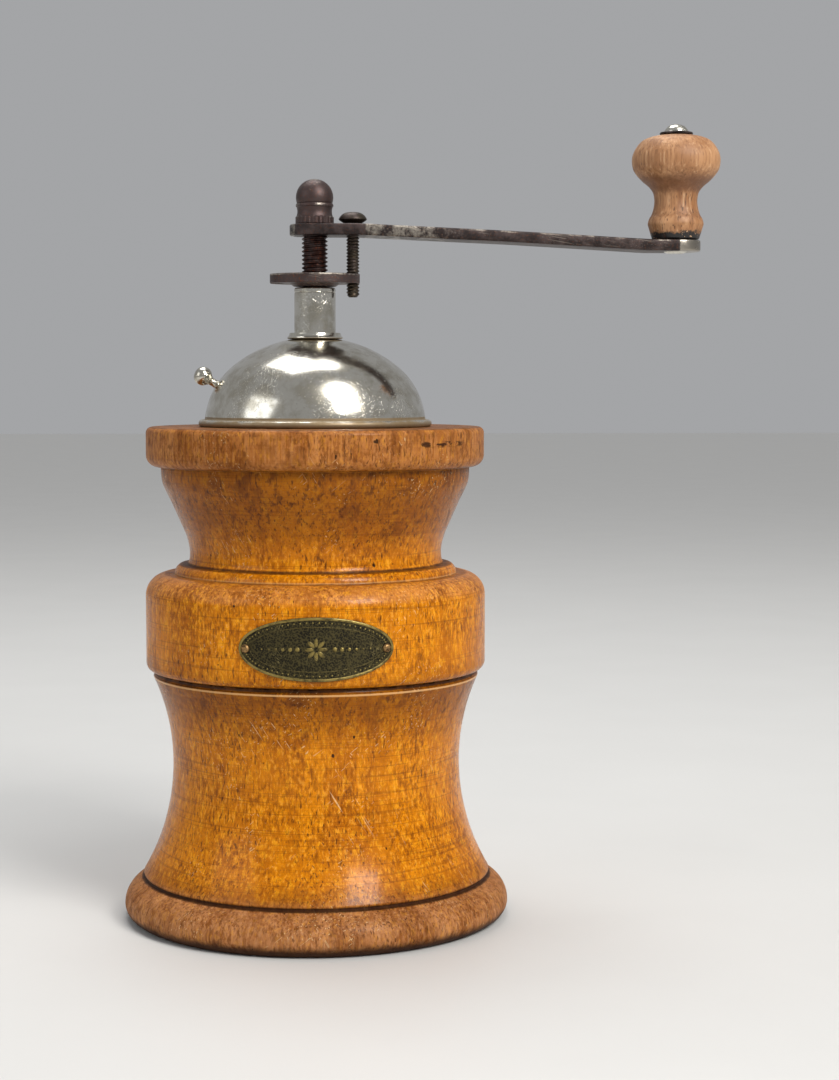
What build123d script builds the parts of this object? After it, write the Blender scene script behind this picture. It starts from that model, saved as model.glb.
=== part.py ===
"""Turned-wood hand coffee mill with a nickelled dome, a sliding filling shutter and a crank.

Millimetres. The origin is the centre of the cup's underside, +Z is up, the crank points along +X
and the name plate faces -Y. Every separate piece of the real mill is one solid in its own file.
"""

import os
from math import acos, asin, atan2, cos, degrees, radians, sin, sqrt, tan

from build123d import *

# ---- clearances ----
seam_gap = 0.3  # between the cup's lip and the housing that stands on it
socket_clearance = 0.3  # radial, housing spigot in the cup's socket
running_clearance = 0.05  # radial, a shaft or pin in the bore that it turns in
moving_gap = 0.3  # between faces of bodies that turn past each other
fit_clearance = 0.15  # radial, pieces pushed together and staying put
seat_gap = 0.02  # under a ring that stands on a curved sheet
edge_chamfer = 0.3  # small nuts and plates

# ---- ground-coffee cup ----
cup_height = 77.0
base_radius = 59.7
foot_rounding = 4.5
base_bead_top = 11.6
base_groove_depth = 6.4
bead_shoulder = 2.3
base_groove_z = 12.9
flare_edge_step = 0.6
flare_edge_z = 14.0
cup_waist_radius = 44.5
cup_waist_z = 48.4
cup_lip_radius = 50.3
cup_lip_drop = 1.8
cup_neck_step = 0.6
cup_floor = 9.0
cup_wall = 8.0  # at the waist
cup_cavity_rounding = 8.0

# ---- wooden housing ----
housing_height = 75.0
socket_wall = 7.9
spigot_length = 10.7
spigot_chamfer = 1.0
belly_radius = 52.5
belly_height = 29.9
belly_foot_rounding = 2.4
belly_foot_inset = 1.6
shoulder_rounding = 6.6
step_reach = 4.7  # past the waist
step_inset = 1.6
step_height = 2.8
waist_radius = 38.9
waist_height = 35.2
cove_radius_gain = 0.8
cove_foot_rise = 0.2
rim_overhang = 4.5
taper_leg = 4.0
taper_fill = 0.9  # share of each leg that its bend takes up
rim_radius = 52.1
rim_thickness = 12.2
rim_foot_rounding = 3.6
rim_top_rounding = 1.8
mouth_land = 6.1  # from the dome's foot in to the hopper's mouth
mouth_depth = 14.0
outlet_clearance = 1.5

# ---- grinding works ----
burr_seat_height = 7.0  # above the seam
burr_body_radius = 20.0
burr_body_height = 20.0
burr_flange_radius = 29.5
burr_flange = 3.0
burr_headroom = 0.5
burr_mouth_radius = 18.0
burr_throat_radius = 14.6
burr_throat_height = 11.0
burr_exit_radius = 16.8
cone_tip_radius = 7.5
cone_knee_radius = 12.2
cone_knee_height = 10.0
cone_foot_radius = 15.9
cone_skirt = 2.5
cone_recess = 0.5  # above the outer burr's foot
cone_height = 20.5
burr_tooth_count = 16
cone_tooth_count = 12
tooth_groove = 2.2
tooth_slant = 22.0
cone_pin_radius = 1.2
cone_pin_drop = 4.5

# ---- lower bearing ----
lower_bar = 3.0
lower_bar_width = 12.0
lower_bar_drop = 8.0
lower_leg_inner = 19.5
foot_screw_circle = 25.5
lower_foot_reach = 29.0
journal_radius = 3.0
bush_radius = 5.0
bush_flange_radius = 6.5
bush_flange = 1.2
shaft_below_bush = 1.5

# ---- dome, shutter and upper bearing ----
sheet = 0.8
shutter_sheet = 0.7
dome_foot_radius = 34.1
dome_side_radius = 24.3
dome_height = 27.5
dome_bead = 2.0
dome_bead_reach = 1.5
dome_bead_rounding = 0.9
window_from = 95.0  # azimuths from +X, degrees
window_to = 184.5
window_sill = 4.7
window_inner_radius = 13.5
shutter_lap = 7.0  # degrees that the shutter reaches past each side of the window
shutter_eye_radius = 10.8
shutter_foot_gap = 0.6
shutter_knob_azimuth = 178.0
shutter_knob_tilt = 32.0
knob_ball_radius = 2.75
knob_ball_reach = 6.0
knob_stem_radius = 1.25
knob_collar_radius = 2.2
knob_collar = 0.9
knob_collar_slope = 0.4
knob_tail_radius = 1.9
knob_tail = 0.6
knob_tail_gap = 0.1
bridge_azimuth = 45.0
bridge_bar = 3.0
bridge_width = 14.0
bridge_overhang = 0.4  # past the dome's foot
bridge_drop = 0.5  # top of the bar below the rim
bridge_screw_land = 3.2  # from the hopper's mouth out to each screw
bridge_hub_radius = 10.0
sleeve_radius = 6.4
sleeve_foot_radius = 8.5
sleeve_tenon_radius = 5.6
sleeve_exposed = 15.1
sleeve_chamfer = 0.4
collar_radius = 8.6
collar_height = 1.8
collar_flare = 0.7
collar_edge = 0.4

# ---- shaft, adjusting plate, lock screw ----
shaft_radius = 4.0
thread_depth = 0.65
shaft_pitch = 1.25
thread_exposed = 11.6
thread_run_in = 4.0
plate_thickness = 2.9
plate_half_length = 14.0
plate_half_width = 11.6
plate_boss = 1.0
plate_boss_radius = 7.8
plate_boss_foot_radius = 6.6
lock_screw_offset = 11.7
lock_screw_radius = 2.0
lock_thread_depth = 0.35
lock_pitch = 1.0
lock_screw_below_plate = 4.1
lock_head_radius = 4.35
lock_head_foot = 0.6  # past the thread
lock_head_taper = 1.2
lock_head_dome = 2.1
lock_lead = 0.5
lock_tip_inset = 0.3
lock_slot_width = 1.0
lock_slot_depth = 1.0

# ---- crank ----
crank_reach = 111.6
arm_width = 15.4
arm_thickness = 3.5
arm_end_drop = 4.5
hub_flat = 14.0
end_flat = 9.0
square_across = 6.4
cap_thread_radius = 3.0
cap_collar_radius = 5.9
cap_collar_height = 2.5
cap_neck_radius = 5.2
cap_neck_height = 2.9
cap_ring_radius = 5.7
cap_ring_height = 1.1
cap_ball_radius = 5.75
cap_ball_rise = 1.6
cap_bore_depth = 9.5
knurl_count = 28
knurl_depth = 0.35

# ---- knob ----
knob_height = 31.8
knob_foot_radius = 7.2
knob_foot_flare_radius = 8.6
knob_foot_flare_z = 4.6
knob_neck_radius = 6.6
knob_neck_z = 12.3
knob_head_radius = 13.6
knob_head_z = 24.4
knob_top_radius = 6.4
knob_pin_radius = 2.45
pin_head_radius = 3.7
pin_head_height = 2.5
pin_head_edge = 0.5
pin_tail_radius = 3.6
pin_tail = 0.6
rivet_taper = 0.7  # a riveted tail's face, as a share of its foot
pin_washer_radius = 5.1
pin_washer = 0.7

# ---- name plate and fasteners ----
plaque_length = 44.9  # straight across, not along the curve
plaque_height = 18.7
plaque_sheet = 0.5
plaque_rim = 0.3
plaque_rim_width = 0.9
nail_offset = 20.2
nail_radius = 0.8
nail_length = 7.0
nail_head_radius = 1.3
nail_head_height = 0.9
screw_radius = 1.8
screw_head_radius = 3.5
screw_length = 14.0
screw_point = 3.0
screw_slot_width = 0.9
screw_slot_depth = 0.5

# ---- radii worked out from the sizes ----
base_groove_radius = base_radius - base_groove_depth
flare_edge_radius = base_groove_radius + flare_edge_step
cup_neck_radius = cup_lip_radius - cup_neck_step
cup_cavity_radius = cup_waist_radius - cup_wall
spigot_radius = cup_neck_radius - socket_wall - socket_clearance
step_radius = waist_radius + step_reach
throat_radius = rim_radius - rim_overhang
mouth_radius = dome_foot_radius - mouth_land
dome_bead_radius = dome_foot_radius + dome_bead_reach
bridge_reach = dome_foot_radius + bridge_overhang
bridge_screw_circle = mouth_radius + bridge_screw_land
outlet_radius = burr_flange_radius + outlet_clearance

# ---- places worked out from the sizes ----
housing_foot_z = cup_height + seam_gap
spigot_foot_z = housing_foot_z - spigot_length
rim_z = cup_height + housing_height
belly_top_z = cup_height + belly_height
waist_z = cup_height + waist_height
rim_foot_z = rim_z - rim_thickness
burr_seat_z = cup_height + burr_seat_height
burr_foot_z = burr_seat_z - burr_flange
burr_top_z = burr_seat_z + burr_body_height
burr_hole_radius = burr_body_radius + fit_clearance
cone_foot_z = burr_foot_z + cone_recess
cone_top_z = cone_foot_z + cone_height
lower_bar_z = burr_foot_z - lower_bar_drop
bush_top_z = lower_bar_z + lower_bar + bush_flange
shaft_foot_z = lower_bar_z - shaft_below_bush
journal_top_z = (bush_top_z + cone_foot_z) / 2
bridge_top_z = rim_z - bridge_drop
bridge_foot_z = bridge_top_z - bridge_bar
dome_top_z = rim_z + dome_height
sleeve_top_z = dome_top_z + sleeve_exposed
plate_boss_z = sleeve_top_z + moving_gap
plate_foot_z = plate_boss_z + plate_boss
plate_top_z = plate_foot_z + plate_thickness
arm_foot_z = plate_top_z + thread_exposed
arm_top_z = arm_foot_z + arm_thickness
arm_end_foot_z = arm_foot_z - arm_end_drop
arm_end_top_z = arm_end_foot_z + arm_thickness
cap_top_of_thread_z = arm_top_z + cap_bore_depth
knob_foot_z = arm_end_top_z + moving_gap
knob_top_z = knob_foot_z + knob_height
washer_foot_z = knob_top_z + moving_gap
pin_head_foot_z = washer_foot_z + pin_washer
screw_sink = screw_head_radius - screw_radius

# The dome's section is a side arc that stands upright on the rim and a flatter crown arc that is
# tangent to it and is centred on the axis.
side_centre = dome_foot_radius - dome_side_radius
crown_radius = (side_centre**2 + dome_height**2 - dome_side_radius**2) / (
    2 * (dome_height - dome_side_radius)
)
crown_centre_z = dome_top_z - crown_radius
arc_change = degrees(atan2(rim_z - crown_centre_z, side_centre))

os.makedirs("parts", exist_ok=True)


def save(part, name):
    """Label a finished piece and write it."""
    part.label = name
    export_step(part, f"parts/{name}.step")


def upright_plane(x, y, z):
    """Plane through a point whose sketches lie in X and Z, as on Plane.XZ."""
    return Plane(origin=(x, y, z), x_dir=(1, 0, 0), z_dir=(0, -1, 0))


def crown_height(radius, inset=0.0):
    """Height of the dome's crown, or of a layer that lies inset below it, at a radius."""
    return crown_centre_z + sqrt((crown_radius - inset) ** 2 - radius**2)


def dome_layer(outer_inset, inner_inset, top_radius, foot_z):
    """Face, to be revolved, between two depths below the dome's outer surface."""
    with BuildSketch(Plane.XZ) as layer:
        with BuildLine():
            ends = []
            for inset in (outer_inset, inner_inset):
                side = dome_side_radius - inset
                crown = crown_radius - inset
                foot_angle = degrees(asin((foot_z - rim_z) / side))
                top_angle = degrees(acos(top_radius / crown))
                lower = CenterArc((side_centre, rim_z), side, foot_angle, arc_change - foot_angle)
                upper = CenterArc((0, crown_centre_z), crown, arc_change, top_angle - arc_change)
                ends.append((lower @ 0, upper @ 1))
            Line(ends[0][0], ends[1][0])
            Line(ends[0][1], ends[1][1])
        make_face()
    return layer.sketch


def plan_sector(start, stop, inner, outer):
    """Plan face between two azimuths and two radii."""
    with BuildSketch() as sector:
        with BuildLine():
            inside = CenterArc((0, 0), inner, start, stop - start)
            outside = CenterArc((0, 0), outer, start, stop - start)
            Line(inside @ 0, outside @ 0)
            Line(inside @ 1, outside @ 1)
        make_face()
    return sector.sketch


def thread_outline(major, depth, pitch, low, high):
    """Points up the side of a threaded rod, each turn a ridge with a narrow flat crest."""
    turns = int((high - low) / pitch)
    start = high - turns * pitch
    points = [(major - depth, low)]
    for turn in range(turns):
        foot = start + turn * pitch
        points += [(major - depth, foot + 0.05 * pitch), (major, foot + 0.4 * pitch)]
        points += [(major, foot + 0.6 * pitch), (major - depth, foot + 0.95 * pitch)]
    return points + [(major - depth, high)]


def wood_screw():
    """Countersunk screw hanging from its head's flat top at the origin."""
    with BuildPart() as screw:
        with BuildSketch(Plane.XZ):
            with BuildLine():
                Polyline(
                    (0, 0),
                    (screw_head_radius, 0),
                    (screw_radius, -screw_sink),
                    (screw_radius, screw_point - screw_length),
                    (0, -screw_length),
                    close=True,
                )
            make_face()
        revolve(axis=Axis.Z)
        Box(2 * screw_head_radius, screw_slot_width, 2 * screw_slot_depth, mode=Mode.SUBTRACT)
    return screw.part


def opposite_pair(screw, top_z, circle, start):
    """Two copies of a screw across a circle, with their heads' flats at one height."""
    with BuildPart() as pair:
        with Locations((0, 0, top_z)):
            with PolarLocations(circle, 2, start_angle=start):
                add(screw)
    return pair.part


def belly_plane(across):
    """Plane on the belly's skin facing outwards, a straight distance to the right of its middle."""
    turn = asin(across / belly_radius)
    outward = (sin(turn), -cos(turn), 0)
    middle_z = housing_foot_z + belly_foot_rounding + plaque_height / 2
    return Plane(
        origin=(belly_radius * outward[0], belly_radius * outward[1], middle_z), z_dir=outward
    )


# ---- ground-coffee cup ----
socket_radius = spigot_radius + socket_clearance
socket_floor_z = spigot_foot_z - seam_gap

with BuildPart() as ground_cup:
    with BuildSketch(Plane.XZ):
        with BuildLine():
            foot = TangentArc(
                (base_radius - foot_rounding, 0), (base_radius, foot_rounding), tangent=(1, 0)
            )
            bead_top = (base_groove_radius + bead_shoulder, base_bead_top)
            TangentArc(foot @ 1, bead_top, tangent=(0, 1))
            flare_edge = (flare_edge_radius, flare_edge_z)
            Polyline(bead_top, (base_groove_radius, base_groove_z), flare_edge)
            waist = (cup_waist_radius, cup_waist_z)
            lip = (cup_lip_radius, cup_height - cup_lip_drop)
            TangentArc(waist, flare_edge, tangent=(0, -1))
            TangentArc(waist, lip, tangent=(0, 1))
            cavity_side = (cup_cavity_radius, cup_floor + cup_cavity_rounding)
            cavity_floor = (cup_cavity_radius - cup_cavity_rounding, cup_floor)
            Polyline(
                lip,
                (cup_neck_radius, cup_height - cup_lip_drop / 2),
                (cup_neck_radius, cup_height),
                (socket_radius, cup_height),
                (socket_radius, socket_floor_z),
                (cup_cavity_radius, socket_floor_z),
                cavity_side,
            )
            TangentArc(cavity_side, cavity_floor, tangent=(0, -1))
            Polyline(cavity_floor, (0, cup_floor), (0, 0), foot @ 0)
        make_face()
    revolve(axis=Axis.Z)
save(ground_cup.part, "ground_cup")

# ---- wooden housing ----
taper_rise = rim_foot_z - waist_z - 2 * taper_leg
taper_turn = atan2(throat_radius - waist_radius, taper_rise)
taper_bend = taper_fill * taper_leg / tan(taper_turn / 2)

with BuildPart() as upper_housing:
    with BuildSketch(Plane.XZ):
        with BuildLine():
            belly_foot = (belly_radius - belly_foot_inset, housing_foot_z)
            belly_low = (belly_radius, housing_foot_z + belly_foot_rounding)
            belly_high = (belly_radius, belly_top_z - shoulder_rounding)
            shoulder = (belly_radius - shoulder_rounding, belly_top_z)
            step_foot = (step_radius, belly_top_z)
            step_top = (step_radius - step_inset, belly_top_z + step_height)
            cove_foot = (waist_radius + cove_radius_gain, belly_top_z + step_height + cove_foot_rise)
            waist = (waist_radius, waist_z)
            rim_foot = (rim_radius - rim_foot_rounding, rim_foot_z)
            rim_low = (rim_radius, rim_foot_z + rim_foot_rounding)
            rim_high = (rim_radius, rim_z - rim_top_rounding)
            rim_top = (rim_radius - rim_top_rounding, rim_z)
            Polyline(
                (outlet_radius, spigot_foot_z),
                (spigot_radius - spigot_chamfer, spigot_foot_z),
                (spigot_radius, spigot_foot_z + spigot_chamfer),
                (spigot_radius, housing_foot_z),
                belly_foot,
            )
            TangentArc(belly_low, belly_foot, tangent=(0, -1))
            Line(belly_low, belly_high)
            TangentArc(belly_high, shoulder, tangent=(0, 1))
            Line(shoulder, step_foot)
            TangentArc(step_foot, step_top, tangent=(0, 1))
            Line(step_top, cove_foot)
            TangentArc(waist, cove_foot, tangent=(0, -1))
            FilletPolyline(
                waist,
                (waist_radius, waist_z + taper_leg),
                (throat_radius, rim_foot_z - taper_leg),
                (throat_radius, rim_foot_z),
                radius=taper_bend,
            )
            Line((throat_radius, rim_foot_z), rim_foot)
            TangentArc(rim_low, rim_foot, tangent=(0, -1))
            Line(rim_low, rim_high)
            TangentArc(rim_high, rim_top, tangent=(0, 1))
            Polyline(
                rim_top,
                (mouth_radius, rim_z),
                (mouth_radius, rim_z - mouth_depth),
                (burr_hole_radius, burr_top_z + burr_headroom),
                (burr_hole_radius, burr_seat_z),
                (outlet_radius, burr_seat_z),
                (outlet_radius, spigot_foot_z),
            )
        make_face()
    revolve(axis=Axis.Z)
    # Seats for the bridge's two ends, let into the rim.
    with BuildSketch(Plane.XY.offset(rim_z)):
        with PolarLocations(0, 2, start_angle=bridge_azimuth):
            with Locations((bridge_reach / 2, 0)):
                Rectangle(bridge_reach + 2 * fit_clearance, bridge_width + 2 * fit_clearance)
    extrude(amount=-(bridge_drop + bridge_bar), mode=Mode.SUBTRACT)
    # Pilot holes: bridge screws from above, ring and foot screws from below, plate nails in front.
    with Locations((0, 0, bridge_top_z)):
        with PolarLocations(bridge_screw_circle, 2, start_angle=bridge_azimuth):
            Cylinder(
                screw_radius,
                screw_length,
                align=(Align.CENTER, Align.CENTER, Align.MAX),
                mode=Mode.SUBTRACT,
            )
    with Locations((0, 0, burr_foot_z - lower_bar)):
        with PolarLocations(foot_screw_circle, 4):
            Cylinder(
                screw_radius,
                screw_length + lower_bar,
                align=(Align.CENTER, Align.CENTER, Align.MIN),
                mode=Mode.SUBTRACT,
            )
    for side in (-1, 1):
        with Locations(belly_plane(side * nail_offset)):
            Cylinder(nail_radius, 2 * nail_length, mode=Mode.SUBTRACT)
save(upper_housing.part, "upper_housing")

# ---- name plate: a bare pressed oval with a raised rim ----
plaque_outer = belly_radius + plaque_sheet + plaque_rim
plaque_plane = upright_plane(
    0, -plaque_outer - 1, housing_foot_z + belly_foot_rounding + plaque_height / 2
)

with BuildPart() as plate_recess:
    with BuildSketch(plaque_plane):
        Ellipse(plaque_length / 2 - plaque_rim_width, plaque_height / 2 - plaque_rim_width)
    extrude(amount=-belly_radius)
    with BuildSketch():
        Circle(plaque_outer + 1)
        Circle(belly_radius + plaque_sheet, mode=Mode.SUBTRACT)
    extrude(amount=rim_z, mode=Mode.INTERSECT)

with BuildPart() as name_plate:
    with BuildSketch(plaque_plane):
        Ellipse(plaque_length / 2, plaque_height / 2)
    extrude(amount=-belly_radius)
    with BuildSketch():
        Circle(plaque_outer)
        Circle(belly_radius, mode=Mode.SUBTRACT)
    extrude(amount=rim_z, mode=Mode.INTERSECT)
    add(plate_recess.part, mode=Mode.SUBTRACT)
    for side in (-1, 1):
        with Locations(belly_plane(side * nail_offset)):
            Cylinder(nail_radius, 2 * nail_length, mode=Mode.SUBTRACT)
save(name_plate.part, "name_plate")

# ---- two round-headed nails ----
with BuildPart() as nail:
    with BuildSketch(Plane.XZ):
        with BuildLine():
            head_foot = (nail_head_radius, plaque_sheet)
            head_top = (0, plaque_sheet + nail_head_height)
            TangentArc(head_top, head_foot, tangent=(1, 0))
            Polyline(
                head_foot,
                (nail_radius, plaque_sheet),
                (nail_radius, nail_radius - nail_length),
                (0, -nail_length),
                head_top,
            )
        make_face()
    revolve(axis=Axis.Z)

with BuildPart() as plate_nails:
    for side in (-1, 1):
        with Locations(belly_plane(side * nail_offset)):
            add(nail.part)
save(plate_nails.part, "plate_nails")

# ---- bridge that carries the sleeve across the hopper's mouth ----
with BuildPart() as bearing_bridge:
    with BuildSketch(Plane.XY.offset(bridge_foot_z)):
        Rectangle(2 * bridge_reach, bridge_width, rotation=bridge_azimuth)
        Circle(bridge_hub_radius)
    extrude(amount=bridge_bar)
    with BuildSketch(Plane.XY.offset(bridge_foot_z)):
        Circle(sleeve_tenon_radius)
    extrude(amount=bridge_bar, mode=Mode.SUBTRACT)
    with Locations((0, 0, bridge_top_z)):
        with PolarLocations(bridge_screw_circle, 2, start_angle=bridge_azimuth):
            CounterSinkHole(screw_radius, screw_head_radius, counter_sink_angle=90)
save(bearing_bridge.part, "bearing_bridge")
screws_down = opposite_pair(wood_screw(), bridge_top_z, bridge_screw_circle, bridge_azimuth)
save(screws_down, "bridge_screws")

# ---- bearing sleeve, with a shoulder that holds the shutter's eye up ----
eye_inset = sheet + moving_gap
eye_under_inset = eye_inset + shutter_sheet
sleeve_shoulder_z = crown_height(sleeve_foot_radius, eye_under_inset) - moving_gap

with BuildPart() as bearing_sleeve:
    with BuildSketch(Plane.XZ):
        with BuildLine():
            bore = shaft_radius + running_clearance
            Polyline(
                (bore, bridge_foot_z),
                (sleeve_tenon_radius, bridge_foot_z),
                (sleeve_tenon_radius, bridge_top_z),
                (sleeve_foot_radius, bridge_top_z),
                (sleeve_foot_radius, sleeve_shoulder_z),
                (sleeve_radius, sleeve_shoulder_z),
                (sleeve_radius, sleeve_top_z - sleeve_chamfer),
                (sleeve_radius - sleeve_chamfer, sleeve_top_z),
                (bore, sleeve_top_z),
                close=True,
            )
        make_face()
    revolve(axis=Axis.Z)
save(bearing_sleeve.part, "bearing_sleeve")

# ---- dome with its filling window and rolled foot ----
dome_hole_radius = sleeve_radius + fit_clearance

with BuildPart() as dome_cover:
    add(dome_layer(0, sheet, dome_hole_radius, rim_z))
    revolve(axis=Axis.Z)
    with BuildSketch(Plane.XZ):
        with Locations((dome_foot_radius - sheet, rim_z)):
            bead = Rectangle(
                dome_bead_radius - dome_foot_radius + sheet, dome_bead, align=(Align.MIN, Align.MIN)
            )
        fillet(bead.vertices().group_by(Axis.X)[-1], dome_bead_rounding)
    revolve(axis=Axis.Z)
    with BuildSketch(Plane.XY.offset(rim_z + window_sill)):
        add(plan_sector(window_from, window_to, window_inner_radius, dome_bead_radius))
    extrude(amount=dome_height, mode=Mode.SUBTRACT)
save(dome_cover.part, "dome_cover")

# ---- flared collar pressed on the sleeve to hold the dome down ----
collar_foot_z = crown_height(dome_hole_radius) + seat_gap

with BuildPart() as dome_collar:
    with BuildSketch(Plane.XZ):
        with BuildLine():
            Polyline(
                (sleeve_radius, collar_foot_z),
                (collar_radius, collar_foot_z),
                (collar_radius, collar_foot_z + collar_edge),
                (collar_radius - collar_flare, collar_foot_z + collar_height),
                (sleeve_radius, collar_foot_z + collar_height),
                close=True,
            )
        make_face()
    revolve(axis=Axis.Z)
save(dome_collar.part, "dome_collar")

# ---- shutter: a slice of a smaller dome that turns on the sleeve ----
knob_tilt = radians(shutter_knob_tilt)
knob_azimuth = radians(shutter_knob_azimuth)
if shutter_knob_tilt < arc_change:
    skin_centre = (side_centre, rim_z)
    skin_radius = dome_side_radius - eye_inset
else:
    skin_centre = (0, crown_centre_z)
    skin_radius = crown_radius - eye_inset
knob_seat_radius = skin_centre[0] + skin_radius * cos(knob_tilt)
knob_seat_z = skin_centre[1] + skin_radius * sin(knob_tilt)
shutter_knob_plane = Plane(
    origin=(
        knob_seat_radius * cos(knob_azimuth),
        knob_seat_radius * sin(knob_azimuth),
        knob_seat_z,
    ),
    x_dir=(-sin(knob_azimuth), cos(knob_azimuth), 0),
    z_dir=(
        cos(knob_tilt) * cos(knob_azimuth),
        cos(knob_tilt) * sin(knob_azimuth),
        sin(knob_tilt),
    ),
)

with BuildPart() as shutter_plate:
    add(
        dome_layer(
            eye_inset,
            eye_under_inset,
            sleeve_radius + running_clearance,
            rim_z + shutter_foot_gap,
        )
    )
    revolve(axis=Axis.Z)
    with BuildSketch(Plane.XY.offset(bridge_top_z)):
        add(
            plan_sector(
                window_from - shutter_lap, window_to + shutter_lap, sleeve_radius, dome_foot_radius
            )
        )
        Circle(shutter_eye_radius)
    extrude(amount=dome_height + sheet, mode=Mode.INTERSECT)
    with Locations(shutter_knob_plane):
        Cylinder(knob_stem_radius, 4 * shutter_sheet, mode=Mode.SUBTRACT)
save(shutter_plate.part, "shutter_plate")

# ---- shutter knob, riveted through the shutter ----
with BuildPart() as shutter_knob_blank:
    with BuildSketch(Plane.XZ):
        with BuildLine():
            neck_angle = degrees(asin(knob_stem_radius / knob_ball_radius))
            ball = CenterArc(
                (0, knob_ball_reach), knob_ball_radius, neck_angle - 90, 180 - neck_angle
            )
            Polyline(
                ball @ 0,
                (knob_stem_radius, knob_collar + knob_collar_slope),
                (knob_collar_radius, knob_collar),
                (knob_collar_radius, fit_clearance),
                (knob_stem_radius, fit_clearance),
                (knob_stem_radius, -shutter_sheet - knob_tail_gap),
                (knob_tail_radius, -shutter_sheet - knob_tail_gap),
                (knob_tail_radius * rivet_taper, -shutter_sheet - knob_tail),
                (0, -shutter_sheet - knob_tail),
                ball @ 1,
            )
        make_face()
    revolve(axis=Axis.Z)

with BuildPart() as shutter_knob:
    with Locations(shutter_knob_plane):
        add(shutter_knob_blank.part)
save(shutter_knob.part, "shutter_knob")

# ---- outer burr: a flanged ring with slanting teeth in its bore ----
burr_throat_z = burr_foot_z + burr_throat_height

with BuildPart() as burr_ring:
    with BuildSketch(Plane.XZ):
        with BuildLine():
            Polyline(
                (burr_exit_radius, burr_foot_z),
                (burr_flange_radius, burr_foot_z),
                (burr_flange_radius, burr_seat_z),
                (burr_body_radius, burr_seat_z),
                (burr_body_radius, burr_top_z),
                (burr_mouth_radius, burr_top_z),
                (burr_throat_radius, burr_throat_z),
                close=True,
            )
        make_face()
    revolve(axis=Axis.Z)
    mouth_lean = degrees(atan2(burr_mouth_radius - burr_throat_radius, burr_top_z - burr_throat_z))
    with Locations((0, 0, (burr_top_z + burr_throat_z) / 2)):
        with PolarLocations((burr_mouth_radius + burr_throat_radius) / 2, burr_tooth_count):
            Box(
                tooth_groove,
                tooth_groove,
                burr_body_height,
                rotation=(tooth_slant, mouth_lean, 45),
                mode=Mode.SUBTRACT,
            )
    with Locations((0, 0, burr_foot_z)):
        with PolarLocations(foot_screw_circle, 4):
            Cylinder(screw_radius, 3 * burr_flange, mode=Mode.SUBTRACT)
    with Locations(Plane.XY.offset(burr_foot_z).rotated((180, 0, 0))):
        with PolarLocations(foot_screw_circle, 2, start_angle=90):
            CounterSinkHole(screw_radius, screw_head_radius, counter_sink_angle=90)
save(burr_ring.part, "burr_ring")
screw_up = wood_screw().rotate(Axis.X, 180)
save(opposite_pair(screw_up, burr_foot_z, foot_screw_circle, 90), "ring_screws")

# ---- inner burr: a toothed cone pinned on the shaft ----
cone_knee_z = cone_top_z - cone_knee_height
cone_pin_z = cone_top_z - cone_pin_drop
cone_pin_half = (cone_tip_radius + cone_knee_radius) / 2 - tooth_groove

with BuildPart() as cone_burr:
    with BuildSketch(Plane.XZ):
        with BuildLine():
            Polyline(
                (shaft_radius, cone_foot_z),
                (cone_foot_radius, cone_foot_z),
                (cone_foot_radius, cone_foot_z + cone_skirt),
                (cone_knee_radius, cone_knee_z),
                (cone_tip_radius, cone_top_z),
                (shaft_radius, cone_top_z),
                close=True,
            )
        make_face()
    revolve(axis=Axis.Z)
    cone_lean = degrees(atan2(cone_tip_radius - cone_foot_radius, cone_height))
    with Locations((0, 0, (cone_foot_z + cone_top_z) / 2)):
        with PolarLocations(cone_knee_radius, cone_tooth_count, start_angle=15):
            Box(
                tooth_groove,
                tooth_groove,
                2 * cone_height,
                rotation=(tooth_slant, cone_lean, 45),
                mode=Mode.SUBTRACT,
            )
    with Locations((0, 0, cone_pin_z)):
        Cylinder(cone_pin_radius, 4 * cone_foot_radius, rotation=(0, 90, 0), mode=Mode.SUBTRACT)
save(cone_burr.part, "cone_burr")

with BuildPart() as cone_pin:
    with Locations((0, 0, cone_pin_z)):
        Cylinder(cone_pin_radius, 2 * cone_pin_half, rotation=(0, 90, 0))
save(cone_pin.part, "cone_pin")

# ---- strap below the burrs that carries the shaft's lower end ----
with BuildPart() as lower_bridge:
    with BuildSketch(Plane.XZ):
        with BuildLine():
            foot_low_z = burr_foot_z - lower_bar
            leg_outer = lower_leg_inner + lower_bar
            Polyline(
                (0, lower_bar_z),
                (leg_outer, lower_bar_z),
                (leg_outer, foot_low_z),
                (lower_foot_reach, foot_low_z),
                (lower_foot_reach, burr_foot_z),
                (lower_leg_inner, burr_foot_z),
                (lower_leg_inner, lower_bar_z + lower_bar),
                (0, lower_bar_z + lower_bar),
                close=True,
            )
        make_face()
        mirror(about=Plane.YZ)
    extrude(amount=lower_bar_width / 2, both=True)
    with Locations((0, 0, lower_bar_z)):
        Cylinder(bush_radius, 3 * lower_bar, mode=Mode.SUBTRACT)
    with Locations(Plane.XY.offset(foot_low_z).rotated((180, 0, 0))):
        with PolarLocations(foot_screw_circle, 2):
            CounterSinkHole(screw_radius, screw_head_radius, counter_sink_angle=90)
save(lower_bridge.part, "lower_bridge")
save(opposite_pair(screw_up, foot_low_z, foot_screw_circle, 0), "foot_screws")

with BuildPart() as lower_bush:
    with BuildSketch(Plane.XZ):
        with BuildLine():
            bush_bore = journal_radius + running_clearance
            bush_seat_z = lower_bar_z + lower_bar
            Polyline(
                (bush_bore, lower_bar_z),
                (bush_radius, lower_bar_z),
                (bush_radius, bush_seat_z),
                (bush_flange_radius, bush_seat_z),
                (bush_flange_radius, bush_top_z),
                (bush_bore, bush_top_z),
                close=True,
            )
        make_face()
    revolve(axis=Axis.Z)
save(lower_bush.part, "lower_bush")

# ---- shaft: journal, plain length, adjusting thread, square for the crank, cap thread ----
thread_low_z = plate_foot_z - thread_run_in

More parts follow.
